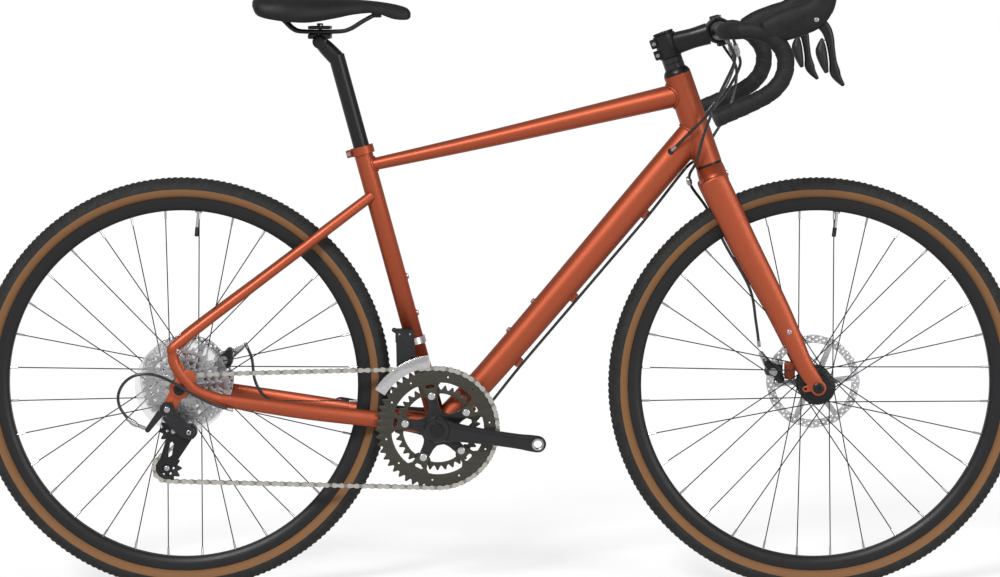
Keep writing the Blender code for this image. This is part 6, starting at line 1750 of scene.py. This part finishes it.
def caliper(name, place, wheel, y, body, node):
    """A cast caliper over the rotor, with its pads, adjuster and bolts."""
    aside = 1.0 if place.x < wheel.x else -1.0

    def near(dx, dz):
        return place + Vector((aside * dx, 0.0, dz))

    outline = wrapped(
        (near(0.0, -0.001), 0.015), (near(-0.009, 0.014), 0.0062), (near(0.013, -0.013), 0.0068)
    )
    cast = plate(outline, y - 0.0122, y + 0.0142, edge=0.003)
    shell = piece(f"{name}_shell", cast, BLACK_METAL, body, [node])
    carved(shell, rod(wheel + Y * (y - 0.0043), wheel + Y * (y + 0.0043), 0.083, 96, 0.0001))
    outward = (Vector((place.x, 0.0, place.z)) - wheel).normalized()
    middle = wheel + outward * 0.073
    pads = []
    for side in (-1.0, 1.0):
        pad_place = Vector((middle.x, y + side * 0.0034, middle.z))
        pads.append(block(pad_place, 0.0075, 0.0018, 0.008, outward, edge=0.0006))
    for dx, dz in ((0.0135, 0.016), (0.006, -0.0185)):
        pads.append(rod(near(dx, dz) + Y * (y - 0.0095), near(dx, dz) + Y * (y + 0.006), 0.0042, 20))
    bridge = wrapped(
        (near(0.0135, 0.016), 0.0042), (near(0.006, -0.0185), 0.0042), (near(0.013, 0.0), 0.005)
    )
    pads.append(plate(bridge, y + 0.0046, y + 0.008, edge=0.0008))
    piece(f"{name}_pads", together(*pads), RESIN, body)
    outer = y + 0.0142
    ring = [
        (outer - 0.0004, 0.01), (outer + 0.0004, 0.0103), (outer + 0.0004, 0.0125),
        (outer - 0.0004, 0.013),
    ]
    knob = [(y - 0.011, 0.006), (y - 0.0126, 0.0072), (y - 0.0134, 0.007), (y - 0.0136, 0.005)]
    bolts = [ring_lathe(place, ring, 36), lathe(place, knob, 40)]
    for dx, dz in ((0.0135, 0.016), (0.006, -0.0185)):
        bolts.append(hex_bolt(near(dx, dz) + Y * (y - 0.0094), -Y, 0.0036, 0.0018, 0.5))
    piece(f"{name}_bolts", together(*bolts), BOLT_STEEL, body)


def brake_arm(name, pivot, tip, low, body, node):
    outline = wrapped((pivot, 0.009), (tip, 0.005))
    hole = circle(pivot.lerp(tip, 0.45), 0.003, 16)
    arm = plate(outline, low + 0.0003, low + 0.0035, [hole], edge=0.0008)
    piece(f"{name}_plate", arm, SILVER, body, [node])
    face = low + 0.0035
    heads = [hex_bolt(Vector((pivot.x, face - 0.0008, pivot.z)), Y, 0.0052, 0.0008, 0.5)]
    heads.append(hex_bolt(Vector((tip.x, face - 0.0008, tip.z)), Y, 0.0034, 0.0008, 0.5))
    piece(f"{name}_screws", together(*heads), BOLT_STEEL, body)


def brakes():
    front = Vector((0.4655, 0.0, 0.368))
    rear = Vector((-0.4705, 0.0, 0.387))
    caliper("front_caliper", front, FRONT_AXLE, 0.0395, "steering", "front_caliper")
    brake_arm(
        "front_arm", front, Vector((0.448, 0.0, 0.396)), 0.0395 + 0.0145, "front_brake_arm",
        "front_caliper_arm",
    )
    caliper("rear_caliper", rear, REAR_AXLE, 0.0522, "frame", "rear_caliper")
    brake_arm(
        "rear_arm", rear, Vector((-0.442, 0.0, 0.406)), 0.0522 + 0.0145, "rear_brake_arm",
        "rear_caliper_arm",
    )


# ---------------------------------------------------------------- seat

SADDLE_ROWS = (
    # x, half width, top, edge bottom, middle bottom
    (-0.411, 0.042, 0.999, 0.987, 0.9885),
    (-0.4, 0.064, 1.006, 0.972, 0.982),
    (-0.365, 0.071, 1.009, 0.964, 0.98),
    (-0.32, 0.065, 1.007, 0.961, 0.98),
    (-0.28, 0.047, 1.0035, 0.967, 0.982),
    (-0.245, 0.031, 1.0005, 0.974, 0.983),
    (-0.208, 0.023, 0.997, 0.9765, 0.98),
    (-0.178, 0.019, 0.9925, 0.967, 0.971),
    (-0.156, 0.014, 0.986, 0.9655, 0.967),
    (-0.149, 0.0075, 0.978, 0.97, 0.9705),
)


def saddle_ring(x, half, top, edge, middle):
    """A padded section with a soft shoulder, a shallow channel along its top and a lip below."""
    rise = top - edge
    channel = 0.0018 * min(1.0, half / 0.05)
    key = [
        (-half * 0.9, edge), (-half * 0.99, edge + rise * 0.1), (-half, edge + rise * 0.26),
        (-half * 0.97, edge + rise * 0.5), (-half * 0.86, edge + rise * 0.74),
        (-half * 0.66, top - rise * 0.1),
        (-half * 0.4, top - rise * 0.015), (-half * 0.18, top - channel * 0.5), (0.0, top - channel),
    ]
    ring = key + [(-y, z) for y, z in key[-2::-1]]
    ring += [(half * 0.72, edge + (middle - edge) * 0.6), (half * 0.4, middle), (0.0, middle + 0.0004)]
    ring += [(-half * 0.4, middle), (-half * 0.72, edge + (middle - edge) * 0.6)]
    return [Vector((x, y, z)) for y, z in ring]


def saddle_and_post():
    post = rod(seat_point(0.33), seat_point(0.647), 0.0136, 48)
    piece("post_tube", post, BLACK_METAL, "post", ["seatpost"])
    neck_start = seat_point(0.64)
    rows = [(*neck_start, 0.0136, 0.0136), (*neck_start.lerp(SADDLE_PIVOT, 0.3), 0.0134, 0.0136)]
    rows += [(*neck_start.lerp(SADDLE_PIVOT, 0.7), 0.014, 0.0128), (*SADDLE_PIVOT, 0.015, 0.0108)]
    neck = limb(rows, 40, steps=6)
    barrel = lathe(
        SADDLE_PIVOT, [(-0.018, 0.0112), (-0.0174, 0.012), (0.0174, 0.012), (0.018, 0.0112)], 48
    )
    piece("post_head", together(neck, barrel), BLACK_METAL, "post")
    x, rail = SADDLE_PIVOT.x, 0.9461
    low_top, low_bottom, high_bottom = rail - 0.0038, SADDLE_PIVOT.z + 0.0045, rail + 0.0038
    lower = block(
        Vector((x, 0.0, (low_top + low_bottom) / 2)), 0.019, 0.027, (low_top - low_bottom) / 2,
        edge=0.0016,
    )
    upper = block(Vector((x, 0.0, high_bottom + 0.0028)), 0.0188, 0.0268, 0.0028, edge=0.0014)
    made = piece("clamp_cradle", lower, BLACK_METAL, "saddle_top", ["saddle_clamp"])
    carved(made, rod(SADDLE_PIVOT - Y * 0.06, SADDLE_PIVOT + Y * 0.06, 0.0122, 48))
    piece("clamp_plate", upper, BLACK_METAL, "saddle_top")
    foot = Vector((x, 0.0, high_bottom + 0.005))
    bolt = [
        rod(Vector((x, 0.0, low_top - 0.001)), foot, 0.0035, 20), hex_bolt(foot, Z, 0.0055, 0.005, 0.5)
    ]
    piece("clamp_bolt", together(*bolt), BOLT_STEEL, "saddle_top")
    left = (
        (-0.374, 0.026, 0.9762), (-0.36, 0.024, 0.9645), (-0.345, 0.022, 0.9505),
        (-0.328, 0.022, 0.9461),
        (-0.27, 0.022, 0.9461), (-0.25, 0.021, 0.9505), (-0.23, 0.016, 0.9625),
        (-0.212, 0.009, 0.9722),
        (-0.204, 0.0, 0.9745),
    )
    route = [Vector(p) for p in left] + [Vector((x, -y, z)) for x, y, z in left[-2::-1]]
    piece(
        "rail_rod", cable(curve_through(route, 0.003), 0.0035, 20), BLACK_METAL, "saddle_top",
        ["saddle_rails"],
    )
    rows = smooth(SADDLE_ROWS, 7)
    rings = [saddle_ring(*row) for row in rows]
    made = piece("saddle_shell", loft(rings), SADDLE_COVER, "saddle_top", ["saddle"], sharp=60.0)
    sockets = [
        block(Vector((-0.37, side * 0.0255, 0.9748)), 0.009, 0.0062, 0.007, edge=0.002)
        for side in (1, -1)
    ]
    sockets.append(block(Vector((-0.206, 0.0, 0.9745)), 0.008, 0.012, 0.0052, edge=0.0016))
    piece("rail_sockets", together(*sockets), RESIN, "saddle_top")


# ---------------------------------------------------------------- cables


def under_down_tube(along):
    return DOWN_MIDDLE + DOWN_AHEAD * along - DOWN_ABOVE * 0.0317


def cable_end(route, radius, length, at_start=False):
    """A ferrule on a housing's end."""
    near, far = (route[0], route[2]) if at_start else (route[-1], route[-3])
    along = (far - near).normalized()
    return rod(near, near + along * length, radius, 20, 0.0004)


def adjuster(route, share):
    """A barrel adjuster, ribbed, at a share of a housing's length."""
    i = int(share * (len(route) - 1))
    place, ahead = route[i], (route[i + 1] - route[i - 1]).normalized()
    across, up = square_to(ahead)
    stations = [
        (-0.011, 0.0032), (-0.0105, 0.004), (-0.003, 0.004), (-0.0026, 0.0048), (0.006, 0.0048),
        (0.0066, 0.004), (0.011, 0.0034),
    ]
    rings = []
    for h, r in stations:
        ring = []
        for k in range(32):
            turn = 2.0 * math.pi * k / 32
            rib = 0.0003 if r > 0.0045 and k % 2 else 0.0
            ring.append(
                place + ahead * h + across * (r - rib) * math.cos(turn) + up * (r - rib) * math.sin(turn)
            )
        rings.append(ring)
    return loft(rings)


def housing(name, places, body, node, adjusters=(), ends=(True, True), bend=None):
    """An outer cable with its metal ends, on one body, or baked in place on no body when it runs from the
    steering to the frame.
    """
    route = curve_through(places, 0.004)
    metal = [
        cable_end(route, 0.0031, 0.011, first)
        for first, wanted in ((True, ends[0]), (False, ends[1]))
        if wanted
    ]
    metal += [adjuster(route, share) for share in adjusters]
    outer = piece(f"{name}_cable", cable(route, HOUSING_RADIUS, 14), HOUSING, None)
    fittings = piece(f"{name}_ferrules", together(*metal), BOLT_STEEL, None)
    for made, nodes in ((outer, [node]), (fittings, [])):
        if bend:
            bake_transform(made)
            if nodes:
                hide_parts(*nodes)
        else:
            seat(made, body, nodes)


def gear_lead(side):
    """From inside the tape, along the front of the bar, to where the outer cable turns down."""
    along = (
        (0.376, 0.156, 0.9421), (0.3792, 0.143, 0.9402), (0.3805, 0.098, 0.94),
        (0.387, 0.072, 0.9335),
    )
    return [(x, side * y, z) for x, y, z in along]


def brake_lead(side):
    """From inside the tape, along the underside of the bar, to where the outer cable turns down."""
    along = (
        (0.3694, 0.156, 0.9371), (0.3704, 0.143, 0.9334), (0.3745, 0.104, 0.93),
        (0.385, 0.083, 0.915),
    )
    return [(x, side * y, z) for x, y, z in along]


def cables():
    port = Vector((0.288, -0.0222, 0.7475))
    right = gear_lead(-1) + [
        (0.394, -0.06, 0.913), (0.399, -0.056, 0.89), (0.378, -0.048, 0.848),
        (0.348, -0.04, 0.809),
    ]
    right += [(0.315, -0.032, 0.775), tuple(port)]
    housing(
        "right_gear", right, "frame", "right_gear_housing", (0.34,), (False, True), (right[3], right[-1])
    )
    left = gear_lead(1) + [
        (0.3935, 0.06, 0.913), (0.398, 0.056, 0.89), (0.38, 0.047, 0.848),
        (0.35, 0.04, 0.809),
    ]
    left += [(0.317, 0.032, 0.775), (port.x, -port.y, port.z)]
    housing("left_gear", left, "frame", "left_gear_housing", (0.34,), (False, True), (left[3], left[-1]))
    rear = brake_lead(1) + [
        (0.403, 0.072, 0.88), (0.392, 0.06, 0.82), (0.364, 0.042, 0.772),
        (0.347, 0.034, 0.748), (0.33, 0.025, 0.729), (0.31, 0.008, 0.712),
        under_down_tube(0.348),
        under_down_tube(0.25), under_down_tube(0.163), under_down_tube(0.019),
        (-0.05, 0.002, 0.279),
        (-0.1, 0.008, 0.2585), (-0.15, 0.026, 0.267), (-0.21, 0.036, 0.276),
        (-0.29, 0.044, 0.288),
        (-0.36, 0.048, 0.303), (-0.4, 0.052, 0.322), (-0.418, 0.054, 0.35),
        (-0.424, 0.06, 0.388),
        (-0.436, 0.066, 0.414),
    ]
    housing("rear_brake", rear, "frame", "rear_brake_housing", (), (False, True), (rear[3], rear[9]))
    front = brake_lead(-1) + [
        (0.388, -0.074, 0.895), (0.364, -0.06, 0.84), (0.342, -0.049, 0.78),
        (0.329, -0.034, 0.73), (0.319, -0.012, 0.706), (0.324, 0.016, 0.685),
        (0.3536, 0.0385, 0.6437),
        (0.385, 0.041, 0.5818), (0.4256, 0.0452, 0.5105), (0.438, 0.054, 0.45),
        (0.444, 0.057, 0.408),
    ]
    housing("front_brake", front, "steering", "front_brake_housing", (0.51,), (False, True))
    loop = [
        (-0.445, -0.077, 0.3168), (-0.4749, -0.088, 0.3268), (-0.5126, -0.093, 0.3465),
        (-0.5474, -0.096, 0.3678),
        (-0.5772, -0.096, 0.3788), (-0.6047, -0.095, 0.3773), (-0.6238, -0.093, 0.3651),
        (-0.6343, -0.091, 0.3458),
        (-0.6337, -0.089, 0.3267), (-0.6244, -0.088, 0.3101), (-0.6109, -0.084, 0.2963),
        (-0.5918, -0.0809, 0.2863),
    ]
    housing("derailleur_loop", loop, "frame", "rear_derailleur_housing", (0.93,), (True, True))


# ---------------------------------------------------------------- the studio


def studio():
    reach = 60.0
    mesh = bpy.data.meshes.new("floor")
    corners = [(-reach, -reach, 0.0), (reach, -reach, 0.0), (reach, reach, 0.0), (-reach, reach, 0.0)]
    mesh.from_pydata(corners, [], [(0, 1, 2, 3)])
    floor = bpy.data.objects.new("floor", mesh)
    bpy.context.scene.collection.objects.link(floor)
    floor.location.z = -0.0005
    mesh.materials.append(pale_floor())
    world = bpy.data.worlds.new("studio")
    bpy.context.scene.world = world
    world.use_nodes = True
    nodes, links = world.node_tree.nodes, world.node_tree.links
    soft = nodes["Background"]
    soft.inputs["Color"].default_value = (1.0, 1.0, 1.0, 1.0)
    soft.inputs["Strength"].default_value = 0.42
    white = nodes.new("ShaderNodeBackground")
    white.inputs["Color"].default_value = (1.0, 1.0, 1.0, 1.0)
    white.inputs["Strength"].default_value = 1.0
    choose = nodes.new("ShaderNodeMixShader")
    links.new(nodes.new("ShaderNodeLightPath").outputs["Is Camera Ray"], choose.inputs["Fac"])
    links.new(soft.outputs["Background"], choose.inputs[1])
    links.new(white.outputs["Background"], choose.inputs[2])
    links.new(choose.outputs["Shader"], nodes["World Output"].inputs["Surface"])
    lamp("key_light", (-2.4, -5.2, 4.4), 2.3, 14.0)
    lamp("fill_light", (4.2, -5.0, 1.6), 0.9, 26.0)


def pale_floor():
    """A pale floor that the camera sees lit up to white, with the soft shadow kept."""
    pale = bpy.data.materials.new("pale_floor")
    pale.use_nodes = True
    nodes, links = pale.node_tree.nodes, pale.node_tree.links
    matt = nodes["Principled BSDF"]
    matt.inputs["Base Color"].default_value = (0.86, 0.86, 0.86, 1.0)
    matt.inputs["Roughness"].default_value = 0.9
    matt.inputs["Specular IOR Level"].default_value = 0.1
    lift = nodes.new("ShaderNodeEmission")
    lift.inputs["Strength"].default_value = 1.16
    seen = nodes.new("ShaderNodeLightPath")
    share = nodes.new("ShaderNodeMath")
    share.operation = "MULTIPLY"
    share.inputs[1].default_value = 0.62
    mix = nodes.new("ShaderNodeMixShader")
    links.new(seen.outputs["Is Camera Ray"], share.inputs[0])
    links.new(share.outputs["Value"], mix.inputs["Fac"])
    links.new(matt.outputs["BSDF"], mix.inputs[1])
    links.new(lift.outputs["Emission"], mix.inputs[2])
    links.new(mix.outputs["Shader"], nodes["Material Output"].inputs["Surface"])
    return pale


def lamp(name, place, power, spread):
    data = bpy.data.lights.new(name, "SUN")
    data.energy = power
    data.angle = math.radians(spread)
    made = bpy.data.objects.new(name, data)
    bpy.context.scene.collection.objects.link(made)
    made.location = place
    made.rotation_euler = (-Vector(place)).to_track_quat("-Z", "Y").to_euler()


def camera():
    data = bpy.data.cameras.new("camera")
    data.lens = 113.0
    data.sensor_width = 36.0
    made = bpy.data.objects.new("camera", data)
    bpy.context.scene.collection.objects.link(made)
    aim = Vector((0.0008, 0.0, 0.5135))
    lift = math.radians(5.3)
    made.location = aim + Vector((0.0, -math.cos(lift), math.sin(lift))) * 5.3
    made.rotation_euler = (aim - made.location).to_track_quat("-Z", "Y").to_euler()
    bpy.context.scene.camera = made


frame_tubes()
frame_welds()
frame_fittings()
bracket_cups()
wheels()
chain()
cassette()
chainrings()
cranks()
rear_derailleur()
front_derailleur()
fork()
headset()
stem()
handlebar()
bar_tape("left_bar_tape", 1)
bar_tape("right_bar_tape", -1)
controls()
brakes()
saddle_and_post()
cables()
studio()
camera()
scene = bpy.context.scene
scene.render.resolution_x = 1000
scene.render.resolution_y = 577
scene.view_settings.view_transform = "Standard"
